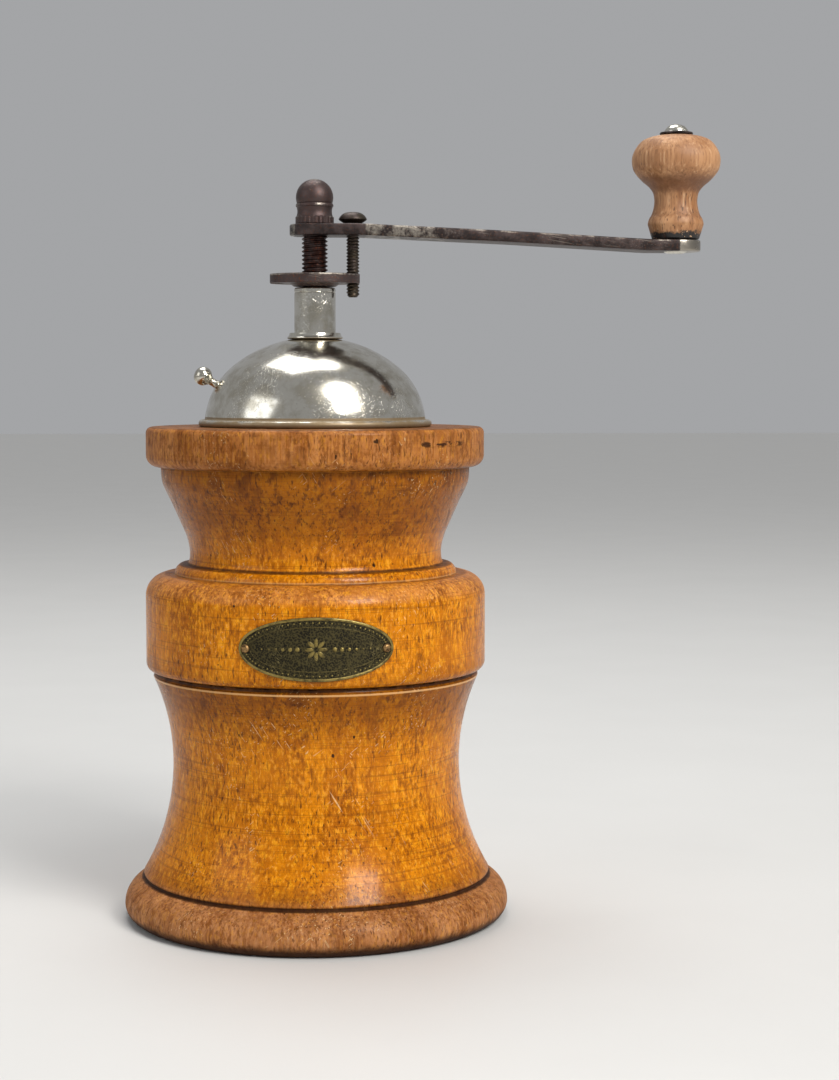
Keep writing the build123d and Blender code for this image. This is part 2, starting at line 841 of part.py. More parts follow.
with BuildPart() as drive_shaft:
    with BuildSketch(Plane.XZ):
        with BuildLine():
            thread = thread_outline(
                shaft_radius, thread_depth, shaft_pitch, thread_low_z, arm_foot_z
            )
            Polyline(
                (0, shaft_foot_z),
                (journal_radius, shaft_foot_z),
                (journal_radius, journal_top_z),
                (shaft_radius, journal_top_z),
                (shaft_radius, thread_low_z),
                *thread,
                (0, arm_foot_z),
                close=True,
            )
        make_face()
    revolve(axis=Axis.Z)
    with BuildSketch(Plane.XY.offset(arm_foot_z)):
        Rectangle(square_across, square_across)
        Circle(shaft_radius, mode=Mode.INTERSECT)
    extrude(amount=arm_thickness)
    with BuildSketch(Plane.XY.offset(arm_top_z)):
        Circle(cap_thread_radius)
    extrude(amount=cap_bore_depth)
    with Locations((0, 0, cone_pin_z)):
        Cylinder(cone_pin_radius, 4 * shaft_radius, rotation=(0, 90, 0), mode=Mode.SUBTRACT)
save(drive_shaft.part, "drive_shaft")

# ---- adjusting plate: a nut on the shaft's thread with a notch at each end ----
notch_radius = lock_screw_radius + moving_gap

with BuildPart() as adjusting_plate:
    with BuildSketch(Plane.XY.offset(plate_foot_z)):
        Ellipse(plate_half_length, plate_half_width)
        with PolarLocations(lock_screw_offset, 2):
            Circle(notch_radius, mode=Mode.SUBTRACT)
            with Locations((plate_half_length / 2, 0)):
                Rectangle(plate_half_length, 1.5 * notch_radius, mode=Mode.SUBTRACT)
    extrude(amount=plate_thickness)
    with BuildSketch(Plane.XZ):
        with BuildLine():
            Polyline(
                (0, plate_boss_z),
                (plate_boss_foot_radius, plate_boss_z),
                (plate_boss_radius, plate_foot_z),
                (0, plate_foot_z),
                close=True,
            )
        make_face()
    revolve(axis=Axis.Z)
    chamfer(adjusting_plate.edges().group_by(Axis.Z)[-1], edge_chamfer)
    with BuildSketch(Plane.XY.offset(plate_boss_z)):
        Circle(shaft_radius)
    extrude(amount=plate_boss + plate_thickness, mode=Mode.SUBTRACT)
save(adjusting_plate.part, "adjusting_plate")

# ---- lock screw: threaded through the crank, its end in the plate's notch ----
lock_tip_z = plate_foot_z - lock_screw_below_plate
lock_head_z = arm_top_z + moving_gap

with BuildPart() as lock_screw_blank:
    with BuildSketch(Plane.XZ):
        with BuildLine():
            lock_thread = thread_outline(
                lock_screw_radius, lock_thread_depth, lock_pitch, lock_tip_z + lock_lead, lock_head_z
            )
            head_edge = (lock_head_radius, lock_head_z + lock_head_taper)
            head_top = (0, lock_head_z + lock_head_taper + lock_head_dome)
            Polyline(
                head_top,
                (0, lock_tip_z),
                (lock_screw_radius - lock_thread_depth - lock_tip_inset, lock_tip_z),
                *lock_thread,
                (lock_screw_radius + lock_head_foot, lock_head_z),
                head_edge,
            )
            TangentArc(head_top, head_edge, tangent=(1, 0))
        make_face()
    revolve(axis=Axis.Z)
    with Locations((0, 0, head_top[1])):
        Box(3 * lock_head_radius, lock_slot_width, 2 * lock_slot_depth, mode=Mode.SUBTRACT)

with BuildPart() as lock_screw:
    with Locations((lock_screw_offset, 0, 0)):
        add(lock_screw_blank.part)
save(lock_screw.part, "lock_screw")

# ---- crank arm: a flat bar that drops a little towards the knob ----
arm_end_x = crank_reach + arm_width / 2

with BuildPart() as crank_arm:
    with BuildSketch(Plane.XZ):
        with BuildLine():
            Polyline(
                (-arm_width, arm_foot_z),
                (hub_flat, arm_foot_z),
                (crank_reach - end_flat, arm_end_foot_z),
                (arm_end_x, arm_end_foot_z),
                (arm_end_x, arm_end_top_z),
                (crank_reach - end_flat, arm_end_top_z),
                (hub_flat, arm_top_z),
                (-arm_width, arm_top_z),
                close=True,
            )
        make_face()
    extrude(amount=arm_width, both=True)
    with BuildSketch(Plane.XY.offset(arm_end_foot_z)):
        with Locations((crank_reach / 2, 0)):
            SlotCenterToCenter(crank_reach, arm_width)
    extrude(amount=arm_end_drop + arm_thickness, mode=Mode.INTERSECT)
    with BuildSketch(Plane.XY.offset(arm_end_foot_z)):
        Rectangle(square_across, square_across)
        Circle(shaft_radius, mode=Mode.INTERSECT)
        with Locations((lock_screw_offset, 0)):
            Circle(lock_screw_radius + running_clearance)
        with Locations((crank_reach, 0)):
            Circle(knob_pin_radius)
    extrude(amount=arm_end_drop + arm_thickness, mode=Mode.SUBTRACT)
save(crank_arm.part, "crank_arm")

# ---- cap nut: knurled collar, waisted neck, ring and ball ----
cap_neck_z = arm_top_z + cap_collar_height
cap_ring_z = cap_neck_z + cap_neck_height
cap_ball_foot_z = cap_ring_z + cap_ring_height
cap_ball_z = cap_ball_foot_z + cap_ball_rise
ball_foot_angle = -degrees(asin(cap_ball_rise / cap_ball_radius))

with BuildPart() as cap_nut:
    with BuildSketch(Plane.XZ):
        with BuildLine():
            ball = CenterArc(
                (0, cap_ball_z), cap_ball_radius, ball_foot_angle, 90 - ball_foot_angle
            )
            collar_top = (cap_collar_radius - edge_chamfer, cap_neck_z)
            ring_foot = (cap_ring_radius, cap_ring_z)
            ThreePointArc(
                collar_top, (cap_neck_radius, (cap_neck_z + cap_ring_z) / 2), ring_foot
            )
            Polyline(ring_foot, (cap_ring_radius, cap_ball_foot_z - edge_chamfer), ball @ 0)
            Polyline(
                collar_top,
                (cap_collar_radius, cap_neck_z - edge_chamfer),
                (cap_collar_radius, arm_top_z),
                (cap_thread_radius, arm_top_z),
                (cap_thread_radius, cap_top_of_thread_z),
                (0, cap_top_of_thread_z),
                ball @ 1,
            )
        make_face()
    revolve(axis=Axis.Z)
    with Locations((0, 0, arm_top_z)):
        with PolarLocations(cap_collar_radius, knurl_count):
            Box(
                2 * knurl_depth,
                2 * knurl_depth,
                2 * (cap_collar_height - edge_chamfer),
                rotation=(0, 0, 45),
                mode=Mode.SUBTRACT,
            )
save(cap_nut.part, "cap_nut")

# ---- wooden knob ----
with BuildPart() as crank_knob:
    with BuildSketch(upright_plane(crank_reach, 0, knob_foot_z)):
        with BuildLine():
            foot_flare = (knob_foot_flare_radius, knob_foot_flare_z)
            neck = (knob_neck_radius, knob_neck_z)
            head = (knob_head_radius, knob_head_z)
            top = (knob_top_radius, knob_height)
            foot_curve = TangentArc(foot_flare, (knob_foot_radius, 0), tangent=(0, -1))
            Spline(foot_flare, neck, head, tangents=((-0.35, 1), (0.05, 1)), tangent_scalars=(0.6, 1))
            TangentArc(head, top, tangent=(0, 1))
            pin_bore = knob_pin_radius + running_clearance
            Polyline(top, (pin_bore, knob_height), (pin_bore, 0), foot_curve @ 1)
        make_face()
    revolve(axis=Axis((crank_reach, 0, 0), (0, 0, 1)))
save(crank_knob.part, "crank_knob")

# ---- pin that the knob turns on, riveted under the crank ----
with BuildPart() as knob_pin:
    with BuildSketch(upright_plane(crank_reach, 0, 0)):
        with BuildLine():
            pin_dome_edge = (pin_head_radius, pin_head_foot_z + pin_head_edge)
            pin_top = (0, pin_head_foot_z + pin_head_height)
            TangentArc(pin_top, pin_dome_edge, tangent=(1, 0))
            Polyline(
                pin_dome_edge,
                (pin_head_radius, pin_head_foot_z),
                (knob_pin_radius, pin_head_foot_z),
                (knob_pin_radius, arm_end_foot_z),
                (pin_tail_radius, arm_end_foot_z),
                (pin_tail_radius * rivet_taper, arm_end_foot_z - pin_tail),
                (0, arm_end_foot_z - pin_tail),
                pin_top,
            )
        make_face()
    revolve(axis=Axis((crank_reach, 0, 0), (0, 0, 1)))
save(knob_pin.part, "knob_pin")

with BuildPart() as knob_washer:
    with BuildSketch(Plane.XY.offset(washer_foot_z)):
        with Locations((crank_reach, 0)):
            Circle(pin_washer_radius)
            Circle(knob_pin_radius, mode=Mode.SUBTRACT)
    extrude(amount=pin_washer)
save(knob_washer.part, "knob_washer")
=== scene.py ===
# %% [markdown]
# # A hand coffee mill in turned wood
# This lesson dresses a finished mechanical model of an old hand coffee mill. The mechanical model
# says where every piece is and how it moves. Here the pieces in view are made again with the
# small touches of the real ones, such as screw threads, a screw's slot and rubbed edges, and
# every surface gets a material made of nodes. Sizes are written in millimetres.

# %% Load the mechanical model
import math

import bpy
from mathutils import Matrix, Vector


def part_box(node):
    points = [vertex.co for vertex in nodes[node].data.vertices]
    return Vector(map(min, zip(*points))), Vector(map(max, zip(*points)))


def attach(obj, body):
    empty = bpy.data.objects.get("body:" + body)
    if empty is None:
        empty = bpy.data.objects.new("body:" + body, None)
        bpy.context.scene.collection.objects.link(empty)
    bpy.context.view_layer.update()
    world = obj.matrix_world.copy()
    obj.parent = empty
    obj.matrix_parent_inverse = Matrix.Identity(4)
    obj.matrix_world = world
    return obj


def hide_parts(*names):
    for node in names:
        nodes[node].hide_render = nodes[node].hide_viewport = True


MM = 0.001
DOUBLES = 0.002
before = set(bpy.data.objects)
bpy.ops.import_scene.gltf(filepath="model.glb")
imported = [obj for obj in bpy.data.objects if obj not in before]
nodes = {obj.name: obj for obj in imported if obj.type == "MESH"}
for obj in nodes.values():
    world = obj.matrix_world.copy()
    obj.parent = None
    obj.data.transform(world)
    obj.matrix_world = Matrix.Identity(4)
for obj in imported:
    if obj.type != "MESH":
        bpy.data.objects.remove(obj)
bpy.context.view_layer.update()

# %% [markdown]
# ## The camera
# The mill is seen from a little above its middle, from nearly three times its height away, with
# a long lens, so its upright lines stay nearly upright. The crank reaches to the right, so the
# camera stands in front of the cup and turns a little to the right to fit the crank in.

# %% Camera
bpy.ops.object.select_all(action="DESELECT")
bpy.ops.object.camera_add(
    location=(0, -0.6735, 0.16665), rotation=(math.radians(85.76), 0, math.radians(-2.74))
)
camera = bpy.context.object
camera.name = "camera"
camera.data.lens = 72.43
camera.data.sensor_width = 36
camera.data.clip_end = 20
bpy.context.scene.camera = camera
print("camera is", round(-camera.location.y / MM), "mm in front")

# %% [markdown]
# ## Outlines
# A turned piece is an outline carried round a centre line. Straight stretches need only their
# ends. A hollow or a round is an arc that leaves one point in a known direction and ends at
# another, which is also how a turner thinks of a cove or a bead. Freer curves, such as the
# knob's, flow through a few measured points.


# %% Arcs and flowing lines
def bend(start, end, heading, steps=12):
    """Points on the arc that leaves start in a direction, in degrees from outwards, to end."""
    across, up = end[0] - start[0], end[1] - start[1]
    chord = math.hypot(across, up)
    lean = math.atan2(up, across) - math.radians(heading)
    lean = (lean + math.pi) % (2 * math.pi) - math.pi
    points = []
    for step in range(steps + 1):
        part = lean * step / steps
        reach = chord * math.sin(part) / math.sin(lean)
        angle = math.radians(heading) + part
        points.append((start[0] + reach * math.cos(angle), start[1] + reach * math.sin(angle)))
    return points


def flow(points, steps=5):
    """Points on a smooth line through the given ones."""
    ends = [Vector(place) for place in [points[0]] + points + [points[-1]]]
    line = []
    for a, b, c, d in zip(ends, ends[1:], ends[2:], ends[3:]):
        for step in range(steps):
            t = step / steps
            slope = (c - a) * t
            curve = (2 * a - 5 * b + 4 * c - d) * t**2 + (3 * b - a - 3 * c + d) * t**3
            line.append(tuple(0.5 * (2 * b + slope + curve)))
    return line + [points[-1]]


print("a quarter round ends at", [round(v, 2) for v in bend((0, 0), (5, 5), 0)[-1]])

# %% [markdown]
# ## The lathe
# The mill's wood, dome, sleeve and nuts were all made on a lathe, and Blender's Spin does the
# same. It works in edit mode on whatever is selected, so a piece is always opened alone. When
# a piece is done, its doubled points are merged and its faces are told which way is out.


# %% Opening and closing a piece
def alone(piece):
    """Select one piece and nothing else, outside edit mode."""
    if bpy.context.mode != "OBJECT":
        bpy.ops.object.mode_set(mode="OBJECT")
    bpy.ops.object.select_all(action="DESELECT")
    piece.select_set(True)
    bpy.context.view_layer.objects.active = piece


def in_edit_mode(piece):
    """Open one piece alone for editing, with all of it selected."""
    alone(piece)
    bpy.ops.object.mode_set(mode="EDIT")
    bpy.ops.mesh.select_mode(type="VERT")
    bpy.ops.mesh.select_all(action="SELECT")


def closed_up(piece, angle=35):
    """Leave edit mode with doubles merged, faces outwards and gentle edges shaded smooth."""
    bpy.ops.mesh.select_all(action="SELECT")
    bpy.ops.mesh.remove_doubles(threshold=DOUBLES * MM)
    bpy.ops.mesh.delete_loose()
    bpy.ops.mesh.normals_make_consistent(inside=False)
    bpy.ops.object.mode_set(mode="OBJECT")
    bpy.ops.object.shade_smooth_by_angle(angle=math.radians(angle))
    return piece


# %% [markdown]
# A plane is only a start here: it is shrunk to one corner, and that corner is drawn out from
# point to point of the outline. Spin carries the line round, and where the ends of the turn
# meet, or where they are left open, the piece is closed.


# %% Drawing and turning
def started(add, **settings):
    """Start a piece from a primitive, with nothing else selected."""
    bpy.ops.object.select_all(action="DESELECT")
    add(**settings)
    return bpy.context.object


def drawn(name, places):
    """A line drawn from place to place, left open for editing: a plane shrunk to one corner,
    moved to the first place and extruded to each of the others."""
    piece = started(bpy.ops.mesh.primitive_plane_add, size=MM, location=(0, 0, 0))
    piece.name = name
    in_edit_mode(piece)
    bpy.ops.mesh.merge(type="CENTER")
    here = Vector((0, 0, 0))
    for count, place in enumerate(places):
        there = Vector(place) * MM
        step = {"value": there - here}
        if count == 0:
            bpy.ops.transform.translate(**step)
        else:
            bpy.ops.mesh.extrude_vertices_move(TRANSFORM_OT_translate=step)
        here = there
    bpy.ops.mesh.select_all(action="SELECT")
    return piece


def turned(name, outline, around=0, segments=128, degrees=360):
    """A piece turned from a closed outline of (radius, height) points about x = around."""
    piece = drawn(name, [(around + radius, 0, up) for radius, up in outline + outline[:1]])
    bpy.ops.mesh.spin(
        steps=segments, angle=math.radians(degrees), center=(around * MM, 0, 0), axis=(0, 0, 1)
    )
    if degrees < 360:
        bpy.ops.mesh.select_all(action="SELECT")
        bpy.ops.mesh.fill_holes(sides=0)
    return closed_up(piece)


# %% [markdown]
# A Bevel takes the sharpness off the corners that are left, because a real edge always shows a
# thin line of light. A modifier is applied at once, so that the mesh is the finished shape.


# %% Softened edges
def modified(piece, kind, **settings):
    """Add a modifier with its settings and apply it."""
    alone(piece)
    modifier = piece.modifiers.new(kind.title(), kind)
    for setting, value in settings.items():
        setattr(modifier, setting, value)
    bpy.ops.object.modifier_apply(modifier=modifier.name)
    return piece


def eased(piece, width, angle=40, rounds=2):
    """Round off the corners of a piece by a small width."""
    modified(
        piece,
        "BEVEL",
        width=width * MM,
        segments=rounds,
        limit_method="ANGLE",
        angle_limit=math.radians(angle),
    )
    in_edit_mode(piece)
    return closed_up(piece)


# %% [markdown]
# Each finished piece says which moving body it rides on and which piece of the mechanical model
# it stands for.


# %% Handing a piece over
def given(piece, body, node):
    """Say which body a piece rides on and which node it stands for."""
    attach(piece, body)
    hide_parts(node)
    low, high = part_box(node)
    print(piece.name, "has", len(piece.data.polygons), "faces, top at", round(high.z / MM, 1))
    return piece


# %% [markdown]
# ## The ground-coffee cup
# The lower half is a cup turned from one block of beech: a rounded foot bead, a groove above
# it, one long hollow sweep to the waist and out to the lip, and a socket inside that takes the
# upper half. The inside is turned as well, because it shows when the mill is taken apart.

# %% Cup
SEAM = 77
SOCKET = 41.8  # radius of the socket that takes the upper half
cup_outline = (
    bend((55.2, 0), (59.7, 4.5), 0)
    + bend((59.7, 4.5), (55.6, 11.6), 90)[1:]
    + [(54.4, 12.6), (53.3, 12.9), (53.4, 13.5), (53.9, 14.0)]
    + bend((44.5, 48.4), (53.9, 14.0), -90, 24)[-2::-1]
    + bend((44.5, 48.4), (50.3, 75.2), 90, 24)[1:]
    + [(50.25, 75.6), (49.7, 76.0), (49.7, SEAM)]
    + [(SOCKET, SEAM), (SOCKET, 66.3), (36.5, 66.3)]
    + bend((36.5, 17), (28.5, 9), -90)
    + [(0, 9), (0, 0)]
)
cup = turned("cup_wood", cup_outline, segments=160)
eased(cup, 0.35, angle=50)
given(cup, "cup", "ground_cup")

# %% [markdown]
# ## Cutters
# What a mill or a saw takes out, a Boolean takes out with a cutter, which is used up. A cutter
# is turned or blocked out, moved by a matrix, and its place is settled into its mesh. Finished
# pieces are settled in the same way, because their finishes read the mesh's own coordinates.


# %% Blocks, places and cuts
def settled(piece):
    """Put a piece's place, turn and scale into its mesh."""
    alone(piece)
    bpy.ops.object.transform_apply(location=True, rotation=True, scale=True)
    return piece


def block(name, low, high):
    """A plain block between two corners, used only to cut with."""
    middle = [(a + b) / 2 * MM for a, b in zip(low, high)]
    made = started(bpy.ops.mesh.primitive_cube_add, size=1, location=middle)
    made.name = name
    made.scale = [(b - a) * MM for a, b in zip(low, high)]
    return settled(made)


def placed(piece, matrix):
    """Move a piece by a matrix in mm and settle the place into its mesh."""
    alone(piece)
    move = matrix.copy()
    move.translation = move.translation * MM
    piece.matrix_world = move @ piece.matrix_world
    return settled(piece)


def cut(piece, cutter, operation="DIFFERENCE"):
    """Cut one piece with another, which is used up."""
    modified(piece, "BOOLEAN", operation=operation, object=cutter, solver="EXACT")
    bpy.data.objects.remove(cutter)
    return piece


# %% [markdown]
# ## The housing
# The upper half carries the works. From the seam it goes up as a belly band with a rounded
# shoulder, a small step, a tight cove at the waist, a taper that opens like a bell, and a
# heavy rim. Its spigot drops into the cup's socket, and the hopper and the grinding works sit
# in its bore. Two seats for the bearing's bridge are let into the rim, so two blocks cut them.

# %% Housing
RIM_TOP = 152
BELLY = 52.5
taper = flow(
    [(38.9, 112.2), (38.95, 114.6), (39.9, 118.6), (42.2, 124), (44.8, 129.8), (46.9, 134.2)]
    + [(47.5, 137.2), (47.6, 139.8)],
    6,
)
housing_outline = (
    [(31, 66.6), (40.5, 66.6), (41.5, 67.6), (41.5, 77.3)]
    + bend((BELLY, 79.7), (50.9, 77.3), -90, 8)[::-1]
    + bend((BELLY, 100.3), (45.9, 106.9), 90, 16)
    + bend((43.6, 106.9), (42.0, 109.7), 90, 8)
    + bend((38.9, 112.2), (39.7, 109.9), -90, 8)[::-1]
    + taper[1:]
    + bend((52.1, 143.4), (48.5, 139.8), -90, 10)[::-1]
    + bend((52.1, 150.2), (50.3, RIM_TOP), 90, 8)
    + [(28, RIM_TOP), (28, 138), (20.15, 104.5), (20.15, 84), (31, 84)]
)
housing = turned("housing_wood", housing_outline, segments=160)
for turn in (45, 225):  # the bridge lies across the mouth at this angle
    seat = block("seat_cutter", (20, -7.15, 148.5), (34.65, 7.15, 160))
    cut(housing, placed(seat, Matrix.Rotation(math.radians(turn), 4, "Z")))
eased(housing, 0.3, angle=55)
given(housing, "housing", "upper_housing")

# %% [markdown]
# ## The nickelled dome
# The dome is thin sheet spun to shape, with a flat crown, a steep side and a rolled foot. Its
# outline is the outer skin followed by the inner one. The filling window is a slice of it, cut
# by a wedge. The wedge is turned too, but only through a quarter turn, and its ends are filled.
# The spin runs clockwise seen from above, so the wedge starts at the window's far side.

# %% Dome
WINDOW = (95, 184.5)
SILL = 156.7
dome_outline = (
    [(33.3, RIM_TOP), (35.2, RIM_TOP)]
    + bend((35.2, RIM_TOP), (34.35, 154.1), 20, 10)[1:]
    + [(33.95, 154.5)]
    + bend((33.9, 155.4), (25.4, 170.6), 98, 22)
    + bend((25.4, 170.6), (6.6, 178.95), 141, 18)[1:]
    + bend((6.6, 178.15), (25.0, 169.95), -10, 18)
    + bend((25.0, 169.95), (33.1, 155.4), -39, 22)[1:]
)
dome = turned("dome_nickel", dome_outline)
WINDOW_INSIDE = 13.5
wedge_face = [(WINDOW_INSIDE, SILL), (40, SILL), (40, 190), (WINDOW_INSIDE, 190)]
wedge = turned("window_cutter", wedge_face, segments=30, degrees=WINDOW[1] - WINDOW[0])
cut(dome, placed(wedge, Matrix.Rotation(math.radians(WINDOW[1]), 4, "Z")))
eased(dome, 0.12, angle=60)
given(dome, "housing", "dome_cover")

# %% [markdown]
# ## Collar and sleeve
# A bright tube stands out of the dome and holds the crank's shaft. A small flared collar is
# pressed on it. Both are plain turnings, so their life is in thin steps and eased corners.

# %% Collar and sleeve
collar = turned(
    "collar_nickel",
    [(6.4, 178.98), (8.3, 178.98), (8.6, 179.15), (8.55, 179.5), (8.2, 179.8)]
    + [(7.95, 180.5), (7.85, 180.75), (7.4, 180.8), (6.4, 180.8)],
    segments=96,
)
given(collar, "housing", "dome_collar")

sleeve = turned(
    "sleeve_nickel",
    [(4.05, 148.5), (5.6, 148.5), (5.6, 151.5), (8.5, 151.5), (8.5, 177.5), (6.4, 177.5)]
    + [(6.4, 192.9), (6.32, 193.0), (6.32, 193.2), (6.4, 193.3), (6.4, 194.2)]
    + [(6.0, 194.6), (4.05, 194.6)],
    segments=96,
)
eased(sleeve, 0.12, angle=50)
given(sleeve, "housing", "bearing_sleeve")

# %% [markdown]
# ## Screw threads
# A thread is one tooth's outline climbing as it goes round. The Screw modifier does exactly
# that: the outline of one tooth, as high as the pitch, is carried round and up, turn after
# turn. Its two open ends are closed, though they are hidden inside a nut or a head.


# %% Thread helper
# How far out a tooth stands, as a share of its depth, and how far up, as a share of the pitch.
TOOTH = ((0, 0), (0, 0.12), (0.75, 0.34), (1, 0.44), (1, 0.58), (0.75, 0.68), (0, 0.9), (0, 1))


def threaded(name, radius, depth, pitch, low, high, steps=40):
    """A threaded rod between two heights on the z axis."""
    root = radius - depth
    tooth = [(root + out * depth, 0, low + up * pitch) for out, up in TOOTH]
    rod = drawn(name, tooth)
    bpy.ops.object.mode_set(mode="OBJECT")
    modified(
        rod,
        "SCREW",
        axis="Z",
        angle=2 * math.pi,
        screw_offset=pitch * MM,
        iterations=int((high - low) / pitch),
        steps=steps,
        render_steps=steps,
        use_merge_vertices=True,
        merge_threshold=DOUBLES * MM,
    )
    in_edit_mode(rod)
    bpy.ops.mesh.remove_doubles(threshold=DOUBLES * MM)
    bpy.ops.mesh.select_all(action="DESELECT")
    bpy.ops.mesh.select_mode(type="EDGE")
    bpy.ops.mesh.select_non_manifold()
    bpy.ops.mesh.edge_face_add()
    return closed_up(rod, 50)


# %% [markdown]
# ## The shaft
# The crank's shaft runs down through the sleeve to the burrs. Between the adjusting plate and
# the crank its eight-millimetre thread shows, rusty and full of old grease.


# %% Joining
def joined(name, *parts):
    """Several meshes as one piece."""
    bpy.ops.object.select_all(action="DESELECT")
    for part in parts:
        part.select_set(True)
    bpy.context.view_layer.objects.active = parts[0]
    bpy.ops.object.join()
    parts[0].name = name
    return parts[0]


# %% [markdown]
# The rod under the thread has a shoulder for the cone burr below and a seat for the crank
# above.

# %% Shaft
shaft_thread = threaded("shaft_thread", 4.0, 0.65, 1.25, 191.9, 210.7)
shaft_rod = turned(
    "shaft_rod",
    [(0, 63.5), (2.6, 63.5), (3, 63.9), (3, 79), (4, 79.4), (4, 191.6), (3.4, 192.2)]
    + [(3.2, 213.9), (3, 213.9), (3, 223), (2.6, 223.4), (0, 223.4)],
    segments=64,
)
shaft = joined("shaft_steel", shaft_thread, shaft_rod)
given(shaft, "crank", "drive_shaft")

# %% [markdown]
# ## The adjusting plate
# This oblong nut climbs the shaft's thread and sets how coarse the mill grinds. It is an oval
# with a notch at each end for the lock screw. A circle is stretched to the oval and drawn up
# to its thickness, then two rods cut the notches and a shallow cone is added below.


# %% Pulling a flat shape out
def pulled(piece, x, y, z):
    """Pull a flat piece out into a solid, by so many mm along each axis."""
    in_edit_mode(piece)
    bpy.ops.mesh.extrude_region_move(TRANSFORM_OT_translate={"value": (x * MM, y * MM, z * MM)})
    return closed_up(piece)


# %% [markdown]
# The notches stand on the line of the lock screw, and each is opened to the plate's end.

# %% Adjusting plate
LOCK_X = 11.7
PLATE_HALF_LONG = 14
PLATE_HALF_WIDE = 11.6
PLATE_UNDER = 195.9
PLATE_THICK = 2.9
plate = started(
    bpy.ops.mesh.primitive_circle_add,
    vertices=96,
    radius=PLATE_HALF_LONG * MM,
    fill_type="NGON",
    location=(0, 0, PLATE_UNDER * MM),
)
plate.scale = (1, PLATE_HALF_WIDE / PLATE_HALF_LONG, 1)
settled(plate)
pulled(plate, 0, 0, PLATE_THICK)
for side in (-1, 1):
    notch_outline = [(0, 190), (2.3, 190), (2.3, 205), (0, 205)]
    cut(plate, turned("notch", notch_outline, side * LOCK_X, 40))
    mouth = sorted((side * LOCK_X, side * 16))
    cut(plate, block("notch_mouth", (mouth[0], -1.7, 190), (mouth[1], 1.7, 205)))
eased(plate, 0.45, angle=40, rounds=3)
boss = turned(
    "plate_boss",
    [(4.0, 194.95), (6.4, 194.95), (6.7, 195.1), (7.8, 195.95), (4.0, 195.95)],
    segments=64,
)
plate = joined("adjusting_plate_steel", plate, boss)
given(plate, "crank", "adjusting_plate")

# %% [markdown]
# ## The lock screw
# A small round-headed screw goes down through the crank, and its end stands in the plate's
# notch so the plate can't creep. The head is a low dome on a cone, with a slot sawn across.

# %% Lock screw
lock_head = turned(
    "lock_head",
    [(0, 213.6), (1.9, 213.6), (2.5, 214.2), (3.2, 214.6), (4.1, 215.2), (4.35, 215.5)]
    + bend((4.35, 215.6), (0, 217.5), 112, 12)
    + [(0, 213.6)],
    segments=64,
)
cut(lock_head, block("slot_cutter", (-6, -0.5, 216.5), (6, 0.5, 219)))
eased(lock_head, 0.12, angle=45)
lock_thread = threaded("lock_thread", 2.0, 0.35, 1.0, 192.2, 214.3, 28)
tip_outline = [(0, 191.7), (1.2, 191.7), (1.75, 192.3), (1.6, 193), (0, 193)]
lock_tip = turned("lock_tip", tip_outline, segments=28)
lock = joined("lock_screw_steel", lock_head, lock_thread, lock_tip)
placed(lock, Matrix.Translation((LOCK_X, 0, 0)))
given(lock, "lock", "lock_screw")

# %% [markdown]
# ## The crank arm
# The arm is a flat bar, round at both ends, that drops a little on its way out to the knob. Its
# side view is drawn as a face and pulled across, and a long rounded slab trims it in plan. The
# corners of the bar are well rubbed, so their bevel is a wide one.

# %% The arm's side view, pulled across
REACH = 111.6
ARM_HALF_WIDE = 7.7
BLANK_HALF_WIDE = 10
side_view = [(-12, 210.4), (13.5, 210.4), (60, 208.35), (102.6, 205.9), (122, 205.9)]
side_view += [(122, 209.4), (102.6, 209.4), (60, 211.75), (13.5, 213.9), (-12, 213.9)]
arm = drawn("crank_arm_steel", [(along, -BLANK_HALF_WIDE, up) for along, up in side_view])
bpy.ops.mesh.edge_face_add()
pulled(arm, 0, 2 * BLANK_HALF_WIDE, 0)

# %% [markdown]
# The trimming slab starts as a circle. The half towards the knob is moved out by the crank's
# reach, which leaves a long shape with two round ends.


# %% The arm's plan
def pick(piece, wanted):
    """Open a piece for editing with only the corners selected that a test picks out."""
    in_edit_mode(piece)
    bpy.ops.mesh.select_all(action="DESELECT")
    bpy.ops.object.mode_set(mode="OBJECT")
    for corner in piece.data.vertices:
        corner.select = wanted(corner.co)
    bpy.ops.object.mode_set(mode="EDIT")


plan = started(
    bpy.ops.mesh.primitive_circle_add,
    vertices=64,
    radius=ARM_HALF_WIDE * MM,
    fill_type="NGON",
    location=(0, 0, 200 * MM),
    rotation=(0, 0, math.pi / 64),
)
settled(plan)
pick(plan, lambda place: place.x > 0)
bpy.ops.transform.translate(value=(REACH * MM, 0, 0))
pulled(plan, 0, 0, 20)
cut(arm, plan, "INTERSECT")
eased(arm, 0.55, angle=40, rounds=3)
given(arm, "crank", "crank_arm")

# %% [markdown]
# ## The cap nut
# The crank is held down by a nut with a ball on top: a knurled collar, a waisted neck, a ring
# and the ball. The knurl is cut by pulling every fourth line of the collar a little inwards.

# %% Cap nut
LINES = 112
COLLAR_RADIUS = 5.9
cap_outline = (
    [(3, 213.9), (5.55, 213.9), (COLLAR_RADIUS, 214.2), (COLLAR_RADIUS, 216.1), (5.6, 216.4)]
    + bend((5.6, 216.4), (5.55, 219.2), 112, 10)[1:]
    + [(5.75, 219.35), (5.8, 219.8), (5.6, 220.25), (5.35, 220.4)]
    + bend((5.52, 220.6), (0, 227.75), 74, 16)
    + [(0, 223.4), (3, 223.4)]
)
cap = turned("cap_nut_steel", cap_outline, segments=LINES)


def on_knurl(place):
    """True for every fourth upright line round the collar."""
    line = round(math.atan2(place.y, place.x) / (2 * math.pi / LINES)) % 4
    return line == 0 and place.xy.length > (COLLAR_RADIUS - 0.05) * MM and place.z < 216.3 * MM


